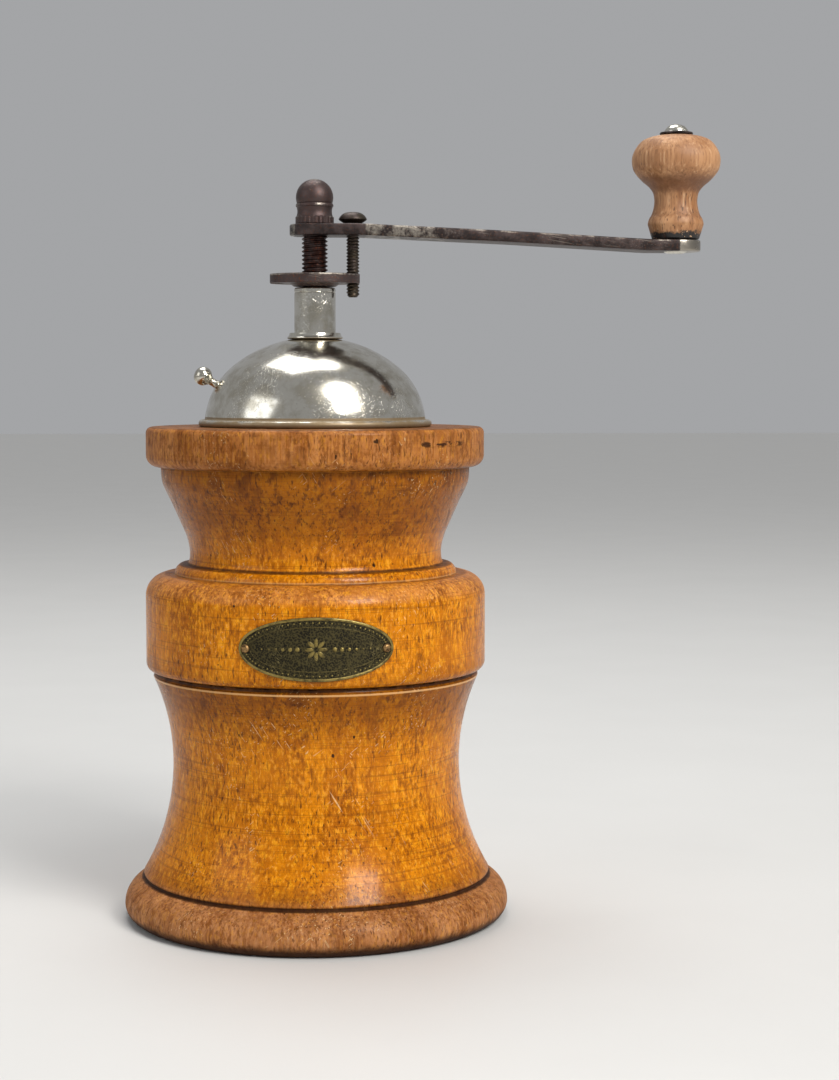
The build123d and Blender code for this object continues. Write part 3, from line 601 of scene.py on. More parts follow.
pick(cap, on_knurl)
bpy.ops.transform.resize(value=(0.965, 0.965, 1))
closed_up(cap)
given(cap, "crank", "cap_nut")

# %% [markdown]
# ## The knob, its pin and its washer
# The knob is a mushroom of bare wood with a narrow neck and a small spreading foot. It turns
# on a pin that is riveted under the arm and ends above in a bevelled dome over a thin washer.

# %% Knob
KNOB_FOOT = 209.7
knob_side = flow(
    [(7.2, KNOB_FOOT), (7.75, 211.4), (8.4, 213.6), (8.6, 214.5), (8.2, 216), (7.5, 217.2)]
    + [(6.95, 218.8), (6.65, 220.6), (6.65, 222.2), (7.1, 224.2), (8.5, 226), (10.4, 227.6)]
    + [(12.3, 229.7), (13.3, 231.5), (13.62, 234), (13.25, 236), (12.2, 238), (10.6, 239.8)]
    + [(8.6, 240.8), (6.4, 241.35), (5.2, 241.5)],
    4,
)
KNOB_BORE = 2.5
knob = turned("knob_wood", knob_side + [(KNOB_BORE, 241.5), (KNOB_BORE, KNOB_FOOT)], REACH, 96)
eased(knob, 0.25, angle=50)
given(knob, "knob", "crank_knob")

# %% [markdown]
# The pin runs from a riveted end under the arm to its domed head, and the washer lies between
# that head and the knob.

# %% Pin and washer
PIN_RADIUS = 2.45
pin = turned(
    "knob_pin_nickel",
    [(PIN_RADIUS, 242.5), (3.45, 242.5), (3.7, 242.7), (3.62, 243.1)]
    + [(3.0, 243.9), (2.6, 244.35), (1.6, 244.8), (0.8, 244.98), (0, 245.0)]
    + [(0, 205.35), (2.4, 205.35), (3.2, 205.6), (3.6, 205.9), (PIN_RADIUS, 205.9)],
    REACH,
    48,
)
given(pin, "crank", "knob_pin")

washer = turned(
    "knob_washer_steel",
    [(PIN_RADIUS, 241.8), (4.95, 241.8), (5.1, 241.95), (5.1, 242.3), (4.9, 242.5)]
    + [(PIN_RADIUS, 242.5)],
    REACH,
    64,
)
given(washer, "crank", "knob_washer")

# %% [markdown]
# ## The shutter's knob
# A ball the size of a pea on a short stem is riveted to the shutter and leans out of the
# window. It is turned upright and then tilted into place.

# %% Shutter knob
BALL_OUT = 6.0
shutter_knob = turned(
    "shutter_knob_nickel",
    [(0, -1.3), (1.4, -1.3), (1.9, -0.8), (1.25, -0.8), (1.25, 0.15), (2.0, 0.15)]
    + [(2.2, 0.35), (2.2, 0.7), (1.9, 0.95), (1.35, 1.3), (1.2, 2.0), (1.25, 3.2)]
    + bend((1.35, 3.6), (0, BALL_OUT + 2.75), 24, 20)[1:],
    segments=48,
)
SIDE_ARC_RADIUS = 24.3  # the dome's steep side is an arc of this radius
SIDE_ARC_CENTRE = 9.8  # and its centre stands this far out from the shaft
SHUTTER_UNDER = 1.1  # how far the shutter's skin lies below the dome's
tilt = math.radians(32)
skin = SIDE_ARC_RADIUS - SHUTTER_UNDER
seat = (SIDE_ARC_CENTRE + skin * math.cos(tilt), RIM_TOP + skin * math.sin(tilt))
lean = Matrix.Rotation(math.pi / 2 - tilt, 4, "Y")
swing = Matrix.Rotation(math.radians(178), 4, "Z")
placed(shutter_knob, swing @ Matrix.Translation((seat[0], 0, seat[1])) @ lean)
given(shutter_knob, "shutter", "shutter_knob")

# %% [markdown]
# ## The name plate
# An oval of thin pressed brass follows the belly's curve. It carries no words, only plain
# ornament: a raised rim, a fine line inside it, a row of small beads between the two, and a
# rosette with a row of drops to each side. It is made flat, as the real one was, and then bent
# round the belly by a Simple Deform.

# %% Plate blank
PLATE_MIDDLE = 89.05
SHEET = 0.5
UPRIGHT = (math.pi / 2, 0, 0)
oval = started(
    bpy.ops.mesh.primitive_grid_add,
    x_subdivisions=70,
    y_subdivisions=26,
    size=1,
    rotation=UPRIGHT,
)
oval.scale = (48 * MM, 20 * MM, 1)
settled(oval)
pulled(oval, 0, SHEET, 0)
trim = started(
    bpy.ops.mesh.primitive_circle_add,
    vertices=128,
    radius=1,
    fill_type="NGON",
    location=(0, -5 * MM, 0),
    rotation=UPRIGHT,
)
trim.scale = (23.15 * MM, 9.35 * MM, 1)
settled(trim)
cut(oval, pulled(trim, 0, 10, 0), "INTERSECT")

# %% [markdown]
# The rim and the fine line are rings of round wire. A torus is made, and then each of its
# corners is moved out to the oval, so the wire keeps its thickness all the way round.


# %% Raised rings
def oval_ring(half_long, half_high, thick):
    """A raised wire round the plate, sunk to its middle in the face."""
    ring = started(
        bpy.ops.mesh.primitive_torus_add,
        major_radius=1,
        minor_radius=0.5,
        major_segments=128,
        minor_segments=10,
        rotation=UPRIGHT,
    )
    for corner in ring.data.vertices:
        out = corner.co.xy.length
        angle = math.atan2(corner.co.y, corner.co.x)
        away = (out - 1) * 2 * thick
        corner.co = (
            (half_long + away) * math.cos(angle) * MM,
            (half_high + away) * math.sin(angle) * MM,
            corner.co.z * 1.1 * thick * MM,
        )
    return settled(ring)


rings = [oval_ring(22.7, 8.9, 0.45), oval_ring(19.6, 6.5, 0.16)]
print("rings:", len(rings))

# %% [markdown]
# One small bead serves for all the rest of the ornament. Copies of it stand in an oval row,
# stretched ones make the rosette's petals, and larger ones make the drops beside it.


# %% Beads, petals and drops
def copied(piece):
    """A copy of a piece with a mesh of its own."""
    copy = piece.copy()
    copy.data = piece.data.copy()
    bpy.context.scene.collection.objects.link(copy)
    return copy


BEADS = 72
PETALS = 8
DROPS = 6
bead = started(
    bpy.ops.mesh.primitive_uv_sphere_add, segments=8, ring_count=5, radius=0.3 * MM
)
bead.scale = (1, 0.7, 1)
settled(bead)
beads = []


def bead_at(move, scale=(1, 1, 1)):
    """One more bead, scaled and then moved by a matrix in mm."""
    another = copied(bead)
    another.scale = scale
    beads.append(placed(another, move))


TURN = 2 * math.pi
for count in range(BEADS):
    angle = TURN * (count + 0.5) / BEADS
    bead_at(Matrix.Translation((21.1 * math.cos(angle), 0, 7.75 * math.sin(angle))))
for count in range(PETALS):
    angle = TURN * count / PETALS
    middle = Matrix.Translation((2.0 * math.cos(angle), 0, 2.0 * math.sin(angle)))
    bead_at(middle @ Matrix.Rotation(-angle, 4, "Y"), (5, 1, 2.2))
for side in (-1, 1):
    for count in range(DROPS):
        wide = 2.6 - 0.35 * count
        bead_at(Matrix.Translation((side * (5.4 + 2.1 * count), 0, 0)), (wide, 1.2, wide))
bpy.data.objects.remove(bead)
name_plate = joined("name_plate_brass", oval, *rings, *beads)
bpy.ops.object.shade_smooth_by_angle(angle=math.radians(50))
print("flat plate spans", [round(v / MM, 2) for v in name_plate.dimensions])

# %% [markdown]
# The flat plate is bent to the belly's curve. Simple Deform bends along the piece's length,
# and its angle is that length over the curve's radius.

# %% Bend the plate round the belly
flat_length = name_plate.dimensions.x / MM
modified(
    name_plate,
    "SIMPLE_DEFORM",
    deform_method="BEND",
    deform_axis="Z",
    angle=flat_length / (BELLY + SHEET / 2),
)
ends = [c.co.y / MM for c in name_plate.data.vertices if abs(c.co.x) > 0.02]
middle = [c.co.y / MM for c in name_plate.data.vertices if abs(c.co.x) < 0.002]
print("ends at", round(min(ends), 2), "to", round(max(ends), 2))
print("middle at", round(min(middle), 2), "to", round(max(middle), 2))
placed(name_plate, Matrix.Translation((0, -BELLY - SHEET, PLATE_MIDDLE)))
given(name_plate, "housing", "name_plate")

# %% [markdown]
# ## The plate's nails
# Two small round-headed nails hold the plate near its ends. One is turned, copied, and leaned
# to stand square on the belly.

# %% Nails
nail = turned(
    "nail",
    bend((1.3, 0.5), (0, 1.35), 82, 8) + [(0, -7), (0.75, -6.2), (0.8, 0.5)],
    segments=32,
)
NAIL_X = 20.2
up = Matrix.Translation((0, 0, PLATE_MIDDLE))
out = Matrix.Translation((0, -BELLY, 0))
lie = Matrix.Rotation(math.pi / 2, 4, "X")
pair = []
for side in (-1, 1):
    round_belly = Matrix.Rotation(math.asin(NAIL_X / BELLY) * side, 4, "Z")
    pair.append(placed(copied(nail), up @ round_belly @ out @ lie))
bpy.data.objects.remove(nail)
nails = joined("plate_nails_brass", *pair)
given(nails, "housing", "plate_nails")

# %% [markdown]
# ## Finishes: how they are written
# Every finish here is worked out from a point's place on its piece, in millimetres, so nothing
# is painted on and nothing slides when a piece moves. A small class wraps one shader output,
# so that sums such as `1 - mask` can be written as plain Python and add their own Math nodes.


# %% Shader arithmetic
class Wire:
    """One shader output that takes part in Python sums."""

    def __init__(self, finish, socket):
        self.finish = finish
        self.socket = socket

    def sum(self, operation, first, second):
        return self.finish.node("ShaderNodeMath", {"operation": operation}, {0: first, 1: second})

    def __add__(self, other):
        return self.sum("ADD", self, other)

    def __sub__(self, other):
        return self.sum("SUBTRACT", self, other)

    def __rsub__(self, other):
        return self.sum("SUBTRACT", other, self)

    def __mul__(self, other):
        return self.sum("MULTIPLY", self, other)

    __radd__ = __add__
    __rmul__ = __mul__

    def most(self, other):
        """The larger of two values, which merges two masks."""
        return self.sum("MAXIMUM", self, other)


def paint(code):
    """A colour from its six-figure code, as the light values that a shader works in."""
    parts = [int(code[k : k + 2], 16) / 255 for k in (0, 2, 4)]
    return [p / 12.92 if p < 0.04 else ((p + 0.055) / 1.055) ** 2.4 for p in parts] + [1]


print("amber in light values:", [round(v, 3) for v in paint("cf7c02")])

# %% [markdown]
# ## Finishes: the workbench
# A finish starts with a point's place. Squeezing the place along one axis before a noise makes
# the noise run along that axis, which gives wood its grain and metal its brushed lines. A mask
# is a number from 0 to 1, made by letting a value rise between two levels. Colours are laid
# over each other through masks, as stain, dirt and wear were laid over the real piece.


# %% Finish class
class Finish:
    """A material under construction."""

    def __init__(self, name):
        self.material = bpy.data.materials.new(name)
        self.material.use_nodes = True
        self.tree = self.material.node_tree
        self.tree.nodes.clear()
        place = self.node("ShaderNodeTexCoord", output="Object")
        self.place = self.node(
            "ShaderNodeVectorMath", {"operation": "SCALE"}, {0: place, "Scale": 1 / MM}
        )
        self.x, self.y, self.z = (
            self.node("ShaderNodeSeparateXYZ", inputs={0: self.place}, output=k) for k in range(3)
        )

    def node(self, kind, settings=None, inputs=None, output=0):
        """Add a node: its settings first, then the values or links of its sockets."""
        made = self.tree.nodes.new(kind)
        for name, value in (settings or {}).items():
            setattr(made, name, value)
        for name, value in (inputs or {}).items():
            if isinstance(value, Wire):
                self.tree.links.new(value.socket, made.inputs[name])
            else:
                made.inputs[name].default_value = value
        return Wire(self, made.outputs[output]) if made.outputs else None

    def squeezed(self, x, y, z, turn=(0, 0, 0)):
        """The place turned and then scaled along each axis."""
        around = self.node("ShaderNodeMapping", inputs={"Vector": self.place, "Rotation": turn})
        return self.node(
            "ShaderNodeVectorMath", {"operation": "MULTIPLY"}, {0: around, 1: (x, y, z)}
        )

    def noise(self, place, size, detail=3, rough=0.5, warp=0):
        """Soft noise whose features are about size mm across."""
        return self.node(
            "ShaderNodeTexNoise",
            inputs={
                "Vector": place,
                "Scale": 1 / size,
                "Detail": detail,
                "Roughness": rough,
                "Distortion": warp,
            },
        )

    def cells(self, place, size):
        """Distance to the nearest of many scattered points about size mm apart."""
        return self.node("ShaderNodeTexVoronoi", inputs={"Vector": place, "Scale": 1 / size})

    def rise(self, value, low, high):
        """A mask that goes from 0 to 1 as a value goes from low to high."""
        return self.node(
            "ShaderNodeMapRange",
            {"interpolation_type": "SMOOTHSTEP"},
            {"Value": value, "From Min": low, "From Max": high},
        )

    def band(self, value, middle, half, soft):
        """A mask that is 1 within half of a middle value and fades over soft."""
        away = self.node("ShaderNodeMath", {"operation": "ABSOLUTE"}, {0: value - middle})
        return 1 - self.rise(away, half, half + soft)

    def lay(self, below, above, mask):
        """One colour over another where a mask says."""
        return self.node("ShaderNodeMix", {"data_type": "RGBA"}, {0: mask, 6: below, 7: above}, 2)

    def coats(self, colour, *layers):
        """Several paints over a colour. Each layer is a colour's code and a mask."""
        for code, mask in layers:
            colour = self.lay(colour, paint(code), mask)
        return colour

    def radius(self, x=0):
        """Distance from the upright line that stands x mm out along the arm."""
        flat = self.node("ShaderNodeCombineXYZ", inputs={0: self.x - x, 1: self.y})
        return self.node("ShaderNodeVectorMath", {"operation": "LENGTH"}, {0: flat}, "Value")

    def done(self, colour, rough, metal=0.0, bump=None, depth=0.1, coat=0.0, specular=0.5):
        """Finish the material: depth is how deep the bump reaches, in mm."""
        values = {
            "Base Color": colour,
            "Roughness": rough,
            "Metallic": metal,
            "Coat Weight": coat,
            "Coat Roughness": 0.14,
            "Specular IOR Level": specular,
        }
        if bump is not None:
            values["Normal"] = self.node(
                "ShaderNodeBump", inputs={"Height": bump, "Distance": depth * MM, "Strength": 1.0}
            )
        shader = self.node("ShaderNodeBsdfPrincipled", inputs=values)
        self.node("ShaderNodeOutputMaterial", inputs={0: shader})
        return self.material


def dress(material, *pieces):
    """Give a material to pieces as their only one."""
    for piece in pieces:
        piece.data.materials.clear()
        piece.data.materials.append(material)
    print(material.name, "on", ", ".join(piece.name for piece in pieces))


# %% [markdown]
# ## The wood's own figure
# Beech shows three things at once: broad streaks of light and dark, fine lines along the trunk,
# and the short dark dashes of its rays. Each is a noise squeezed by its own amount along the
# mill's height. The same layers serve the varnished halves and the bare knob.


# %% Wood layers
def wood_figure(finish):
    """Streaks, fine lines and dark ray dashes that run up the piece."""
    streaks = finish.noise(finish.squeezed(1, 1, 0.14), 8, 4, 0.55, 0.6)
    lines = finish.noise(finish.squeezed(1, 1, 0.045), 0.8, 3, 0.6)
    rays = finish.noise(finish.squeezed(1, 1, 0.2), 0.55, 1.5, 0.5)
    patches = finish.noise(finish.place, 22, 3, 0.5)
    dashes = finish.rise(rays, 0.6, 0.69) * finish.rise(patches, 0.3, 0.6)
    return streaks, lines, dashes


def scratches(finish, size, turns, low=0.7):
    """Thin marks in a few directions, gathered in patches."""
    marks = None
    for turn in turns:
        thin = finish.noise(finish.squeezed(1, 1, 0.03, turn), size, 1, 0.4)
        some = finish.rise(thin, low, low + 0.03)
        marks = some if marks is None else marks.most(some)
    return marks * finish.rise(finish.noise(finish.place, 16, 2), 0.5, 0.62)


# %% [markdown]
# ## Varnished wood
# The varnish has gone amber. Where hands and years have rubbed, it is lighter. Every corner and
# the faces under an overhang are darkened, partly by dirt and partly by painted shading, and thin
# painted highlights run along a few arrises. The base's bead and the rim have lost their varnish
# and show bare, greyish-pink wood. The masks that say where are made from height and from
# distance to the centre line, and both halves of the mill share one recipe.


# %% Varnished wood recipe
def varnished(name, corners, bare_from, stains_and_shading, inside, arris_highlight):
    """Amber wood. The masks say where corners are dirty and darkened by painted shading, where
    varnish is gone, where the wood is stained and, on faces that look down, also darkened by
    painted shading, where the wood is raw inside, and where a painted highlight runs along an
    arris."""
    f = Finish(name)
    streaks, lines, dashes = wood_figure(f)
    bare, dirt_and_shading, stain_and_shading, raw = bare_from(f), corners(f), stains_and_shading(f), inside(f)
    amber = f.coats(
        paint("cf7c02"),
        ("b26402", f.rise(streaks, 0.35, 0.68)),
        ("df9416", f.rise(lines, 0.52, 0.75) * 0.4),
        ("8c4a04", f.rise(1 - lines, 0.52, 0.72) * 0.35),
    )
    pale = f.coats(
        paint("ca8d5c"),
        ("9a6238", f.rise(streaks, 0.3, 0.7)),
        ("d2a074", f.rise(lines, 0.5, 0.7) * 0.5),
        ("5f3519", f.rise(1 - lines, 0.52, 0.68) * 0.5),
    )
    blotches = f.rise(f.noise(f.squeezed(1, 1, 0.6), 6, 6, 0.68, 0.4), 0.5, 0.64)
    freckles = f.rise(f.noise(f.squeezed(1, 1, 0.45), 1.3, 3, 0.6), 0.54, 0.66)
    mottle = f.noise(f.squeezed(1, 1, 0.5), 1.7, 5, 0.72, 0.3)
    flecks = f.noise(f.squeezed(1, 1, 0.4), 0.8, 3, 0.65)
    rings = f.noise(f.squeezed(0.01, 0.01, 1), 0.55, 2, 0.6)
    worked = 0.3 + 0.7 * f.rise(f.noise(f.place, 13, 4, 0.6, 0.3), 0.42, 0.58)
    marks = scratches(f, 0.45, ((0, 0.55, 0), (0, -0.9, 0.3)))
    pits = f.rise(f.noise(f.squeezed(1, 1, 0.7), 2.4, 2, 0.4), 0.765, 0.79)
    grime = f.noise(f.place, 3.5, 4, 0.6)
    colour = f.coats(
        f.lay(amber, pale, bare),
        ("7d3f02", f.rise(mottle, 0.5, 0.6) * worked * 0.6),  # brown clouding
        ("eaa01a", f.rise(1 - mottle, 0.54, 0.62) * (0.5 - 0.3 * bare)),  # and light between
        ("5e2e03", f.rise(flecks, 0.53, 0.6) * worked * 0.5),  # the same, finer
        ("f0a638", f.rise(1 - flecks, 0.56, 0.63) * (0.4 - 0.2 * stain_and_shading)),
        ("6b3604", f.rise(rings, 0.54, 0.66) * (0.4 - 0.3 * bare)),  # lines from the lathe
        # stains, and painted shading on the faces that look down
        ("6e3a02", stain_and_shading * 0.66),
        ("5c2d05", blotches * stain_and_shading * 0.7),
        ("4a2205", freckles * (stain_and_shading * 0.5 + 0.16)),
        ("3a1a05", dashes * 0.75),
        ("eccb98", marks * 0.45),
        ("1b0d05", pits * 0.9),
        # dirt and painted shading in the corners and under overhangs
        ("2b1509", f.rise(dirt_and_shading + grime * 0.5, 0.5, 1.15) * 0.93),
    )
    coffee = f.coats(paint("7c4f2c"), ("2c1709", f.rise(grime, 0.4, 0.62)))
    # a thin pale painted highlight along an arris, where a mask says
    colour = f.coats(f.lay(colour, coffee, raw), ("e7b77c", arris_highlight(f)))
    dull = (bare * 0.3).most(dirt_and_shading * 0.35).most(raw * 0.45)
    rough = dull + 0.26 + 0.16 * blotches + 0.12 * marks
    height = lines * 0.2 + rings * 0.22 + streaks * 0.4 - dashes * 0.22 - pits - marks * 0.15
    gloss = (1 - dull.most(bare * 0.8)) * 0.16
    return f.done(colour, rough, bump=height, depth=0.22, coat=gloss, specular=0.08)


# %% [markdown]
# The cup: darkening in the groove, towards the foot and under the belly's overhang, partly dirt
# and partly painted shading, bare wood on the bead, stains and painted shading on the flare under
# the belly, and a painted highlight on the arris at the lip. Inside it has never been varnished
# and is dark with coffee.

# %% Cup finish
GROOVE = 13.1
LIP = 75.2
cup_finish = varnished(
    "varnished_cup_wood",
    # Dark in the groove, above it, towards the foot and under the belly's overhang: partly dirt,
    # partly painted shading.
    corners=lambda f: (f.band(f.z, GROOVE, 0.25, 0.7) * 0.9)
    .most(1 - f.rise(f.z, 0.3, 6.5))
    .most(f.rise(f.z, 75.5, 76.4) * 0.75)
    .most(f.band(f.z, 16, 1, 6) * 0.35),
    bare_from=lambda f: 1 - f.rise(f.z, 11.9, 16.5),
    # Stains low on the sweep; the flare under the belly is darkened partly by stain and partly by
    # painted shading.
    stains_and_shading=lambda f: ((1 - f.rise(f.z, 14, 22)) * 0.5).most(f.rise(f.z, 56, 74)),
    inside=lambda f: (1 - f.rise(f.radius(), SOCKET + 0.4, SOCKET + 1)).most(
        f.rise(f.z, SEAM - 0.4, SEAM - 0.1)
    ),
    # A painted highlight along the lip's arris.
    arris_highlight=lambda f: f.band(f.z, LIP, 0.12, 0.3) * 0.6,
)
dress(cup_finish, cup)

# %% [markdown]
# The housing: a dark line under the rim, in the cove and at the step, partly dirt and partly
# painted shading, a mottled taper where the varnish has broken up, darkened further by painted
# shading because it faces down, a painted highlight above the step, and a bare rim.

# %% Housing finish
def smudge(f):
    """A broken dark mark on the front of the rim, towards the crank."""
    broken = f.rise(f.noise(f.squeezed(0.4, 0.4, 1), 2.2, 4, 0.7), 0.4, 0.56)
    along = f.band(f.x, 37, 5, 4) * (1 - f.rise(f.y, -30, -15))
    return along * f.band(f.z, 147.5, 0.2, 1.4) * broken


COVE = 110
STEP = 107
RIM_UNDER = 139.8
housing_finish = varnished(
    "varnished_housing_wood",
    # Dark under the rim, in the cove, at the step, at the seam and round the dome's foot, partly
    # dirt and partly painted shading; the smudge on the rim is a stain.
    corners=lambda f: (f.band(f.z, RIM_UNDER, 0.15, 1.0) * 0.6)
    .most(f.band(f.z, COVE, 0.1, 0.8) * 0.75)
    .most(f.band(f.z, STEP, 0.05, 0.3) * 0.6)
    .most((1 - f.rise(f.z, 77.35, 78.0)) * 0.7)
    .most(f.rise(f.z, 151.4, 151.9) * 0.55)
    .most(smudge(f)),
    bare_from=lambda f: (f.rise(f.z, 139.9, 140.6) * 0.7).most(f.band(f.z, 104.5, 1.2, 2.6) * 0.4),
    # The taper is darker, partly stain and partly painted shading as it faces down; the rim
    # carries a stain; the belly's lower round is darkened by painted shading.
    stains_and_shading=lambda f: (f.rise(f.z, 112, 127) * (1 - f.rise(f.z, 139, 140)))
    .most(f.rise(f.z, 139.5, 140.5) * 0.6)
    .most((1 - f.rise(f.z, 79, 84)) * 0.3),
    inside=lambda f: (1 - f.rise(f.radius(), 33.0, 33.8)).most(1 - f.rise(f.z, SEAM, SEAM + 0.2)),
    # A painted highlight just above the step's corner.
    arris_highlight=lambda f: f.band(f.z, STEP + 0.2, 0.08, 0.2) * 0.3,
)
dress(housing_finish, housing)

# %% [markdown]
# ## Bare wood of the knob
# The knob was once painted. Hands have taken nearly all of it off and left tan wood with dark
# grain, and black paint with pale chips round the foot. The brown under the head and in the
# crease above the foot is partly grime and partly painted shading.

# %% Knob finish
f = Finish("bare_knob_wood")
streaks, lines, dashes = wood_figure(f)
grime = f.noise(f.place, 2.2, 4, 0.62)
# Under the head and in the crease above the foot: painted shading that goes with the grime.
under = f.band(f.z, 226.3, 0.8, 4.0).most(f.band(f.z, 217, 0.2, 1.6) * 0.6)
paint_left = 1 - f.rise(f.z + grime * 5, 213.6, 214.8)
chips = f.rise(f.noise(f.place, 0.9, 2), 0.66, 0.7) * paint_left
knot = 1 - f.rise(f.cells(f.squeezed(1, 1, 0.6), 9), 0.05, 0.075)
colour = f.coats(
    paint("b98a60"),
    ("8f6038", f.rise(streaks, 0.3, 0.66)),
    ("6b4020", f.rise(1 - lines, 0.5, 0.66) * 0.5),
    ("d6b088", f.rise(lines, 0.55, 0.7) * 0.4),
    ("4a2a14", dashes * 0.85),
    # brown under the head and above the foot: grime and painted shading
    ("6b4224", f.rise(under * 0.8 + grime * 0.8, 0.6, 1.3) * 0.85),
    ("14100e", paint_left),
    ("c9a27c", chips),
    ("2b160b", knot * 0.85),
)
height = lines * 0.35 + grime * 0.2 - dashes * 0.3 - knot * 0.5 - chips * 0.2
rough = 0.5 - 0.15 * paint_left + 0.1 * lines
dress(f.done(colour, rough, bump=height, depth=0.18), knob)

# %% [markdown]
# ## Nickel
# Nickel plate is warm and bright. Here it carries fine circular lines from polishing, random
# scratches, dull spots, and yellow-brown tarnish that is heaviest at the foot of the dome.


# %% Nickel finish
def nickel(name, tarnish, gloss=0.14, pits=0.5):
    """Old nickel plate. tarnish says where it has gone brown."""
    f = Finish(name)
    cloud = f.noise(f.place, 5, 5, 0.6)
    spots = f.rise(f.noise(f.place, 0.8, 3, 0.6), 0.62, 0.72)
    marks = scratches(f, 0.3, ((0.7, 0, 0), (0, 1.1, 0), (0.4, -0.8, 0.5)), 0.68)
    brown = f.rise(tarnish(f) + cloud * 0.7, 0.75, 1.15)
    colour = f.coats(
        paint("d3cfc4"),
        ("b7b1a2", f.rise(cloud, 0.4, 0.65)),
        ("8d8676", spots * pits),
        ("7a6138", brown * 0.85),
    )
    rings = f.noise(f.squeezed(0.02, 0.02, 1), 0.4, 2)
    rough = gloss + 0.1 * f.rise(cloud, 0.4, 0.7) + 0.16 * marks + 0.3 * brown + 0.12 * spots
    height = rings * 0.12 + cloud * 0.3 - marks * 0.3 - spots * 0.25
    return f.done(colour, rough, metal=1 - 0.5 * brown, bump=height, depth=0.05)


dome_finish = nickel(
    "nickel_dome",
    lambda f: (1 - f.rise(f.z, RIM_TOP + 0.2, 156.5)).most(f.band(f.z, 154.6, 0.2, 0.5) * 1.2),
)
dress(dome_finish, dome)
dress(nickel("nickel_sleeve", lambda f: (1 - f.rise(f.z, 179, 181.5)) * 0.6, 0.1, 0.3), sleeve)
dress(nickel("nickel_collar", lambda f: (1 - f.rise(f.z, 178.9, 179.6)) * 1.2), collar)
dress(nickel("nickel_shutter", lambda f: 0.3), nodes["shutter_plate"])
dress(nickel("nickel_rivet", lambda f: 0.15, 0.2, 0.8), pin)
dress(nickel("nickel_shutter_knob", lambda f: 0.12, 0.12, 0.4), shutter_knob)

# %% [markdown]
# ## Dark steel
# The crank, its nut and the adjusting plate were nickelled too, but most of the plate has worn
# or rusted away to a brown-black skin. What is left of it is pale and lies where rubbing keeps
# it clean. One mask says where the pale metal is, and the same mask also lays pale painted
# highlights along some arrises and rings.


# %% Dark steel recipe
def worn_steel(name, pale, skin="453a38", rust="5e3a28", bright="b5ada0"):
    """Brown-black steel with remains of pale plating, and pale painted highlights, where a mask
    says.
    """
    f = Finish(name)
    cloud = f.noise(f.place, 4, 5, 0.65)
    speck = f.noise(f.place, 0.7, 4, 0.65)
    # pale plating, and painted highlights where the mask carries them
    plating_and_highlight = f.rise(pale(f) + cloud * 0.8 + speck * 0.4, 1.0, 1.25)
    marks = scratches(f, 0.3, ((0, 1.4, 0), (1.2, 0.5, 0)), 0.66)
    colour = f.coats(
        paint(skin),
        ("4a3f3d", f.rise(cloud, 0.4, 0.65)),
        (rust, f.rise(speck, 0.52, 0.68) * 0.55),
        (bright, plating_and_highlight),
        ("8d8379", marks * 0.5),
    )
    rough = 0.4 - 0.14 * plating_and_highlight + 0.12 * speck - 0.08 * marks
    height = speck * 0.6 + cloud * 0.3 + plating_and_highlight * 0.25 - marks * 0.3
    return f.done(colour, rough, metal=0.75 + 0.25 * plating_and_highlight, bump=height, depth=0.1)


def arm_wear_and_highlights(f):
    """Pale plating past the hub; painted highlights on the top arris and on the bare round end."""
    past_hub = f.rise(f.x, 14, 16) * (1 - f.rise(f.x, 30, 74)) * 0.5
    left_end = (1 - f.rise(f.x, -6.4, -5.2)) * 0.55
    top_of_bar = 213.9 - (f.x - 13.5) * 0.0505
    # A painted highlight along the bar's top arris.
    top_highlight = f.rise(f.z - top_of_bar, -0.8, -0.3) * f.rise(f.x, 14, 20) * 0.42
    # The round end is bare metal, lightened further by a painted highlight where it turns.
    bare_and_highlit_end = f.rise(f.x, 110.5, 112.5) * 0.75
    return past_hub.most(left_end).most(top_highlight).most(bare_and_highlit_end)


dress(worn_steel("steel_crank_arm", arm_wear_and_highlights, "2b2423", bright="968f84"), arm)


def cap_wear_and_highlights(f):
    """Pale worn spots on the ball, and painted highlights on the ring and the collar's top."""
    ball = f.rise(f.z, 221, 225) * 0.38
    # Painted highlights on the ring under the ball and on the collar's top arris.
    ring = f.band(f.z, 219.8, 0.3, 0.3).most(f.band(f.z, 216.1, 0.15, 0.3)) * 0.4
    return ball.most(ring)


def lock_wear(f):
    """Pale crests on the lock screw's thread, and a rubbed head."""
    crests = f.rise(f.radius(LOCK_X), 1.85, 1.98) * (1 - f.rise(f.z, 213.6, 214)) * 0.4
    return crests.most(f.rise(f.z, 215.2, 217) * 0.35)


dress(worn_steel("steel_cap_nut", cap_wear_and_highlights, "4a3c3a"), cap)
# A painted highlight along the top arris of the plate.
plate_edge_highlight = lambda f: f.band(f.z, 198.5, 0.15, 0.3) * 0.5
dress(worn_steel("steel_adjusting_plate", plate_edge_highlight, rust="7a4526"), plate)
dress(worn_steel("steel_washer", lambda f: 0.1, "201a18", "3a2a22"), washer)
crests = lambda f: f.rise(f.radius(), 3.75, 3.98) * 0.32
dress(worn_steel("rusty_shaft_thread", crests, "2a140e", "7c4024", "9a7464"), shaft)
dress(worn_steel("screw_steel_worn", lock_wear, "3a332a", "5a4630", "8f8a76"), lock)

# %% [markdown]
# ## Brass
# The plate's raised rim and beads are rubbed to a dull gold, and the low field between them
# keeps a green-brown patina. How far a point stands out from the belly tells one from the
# other.

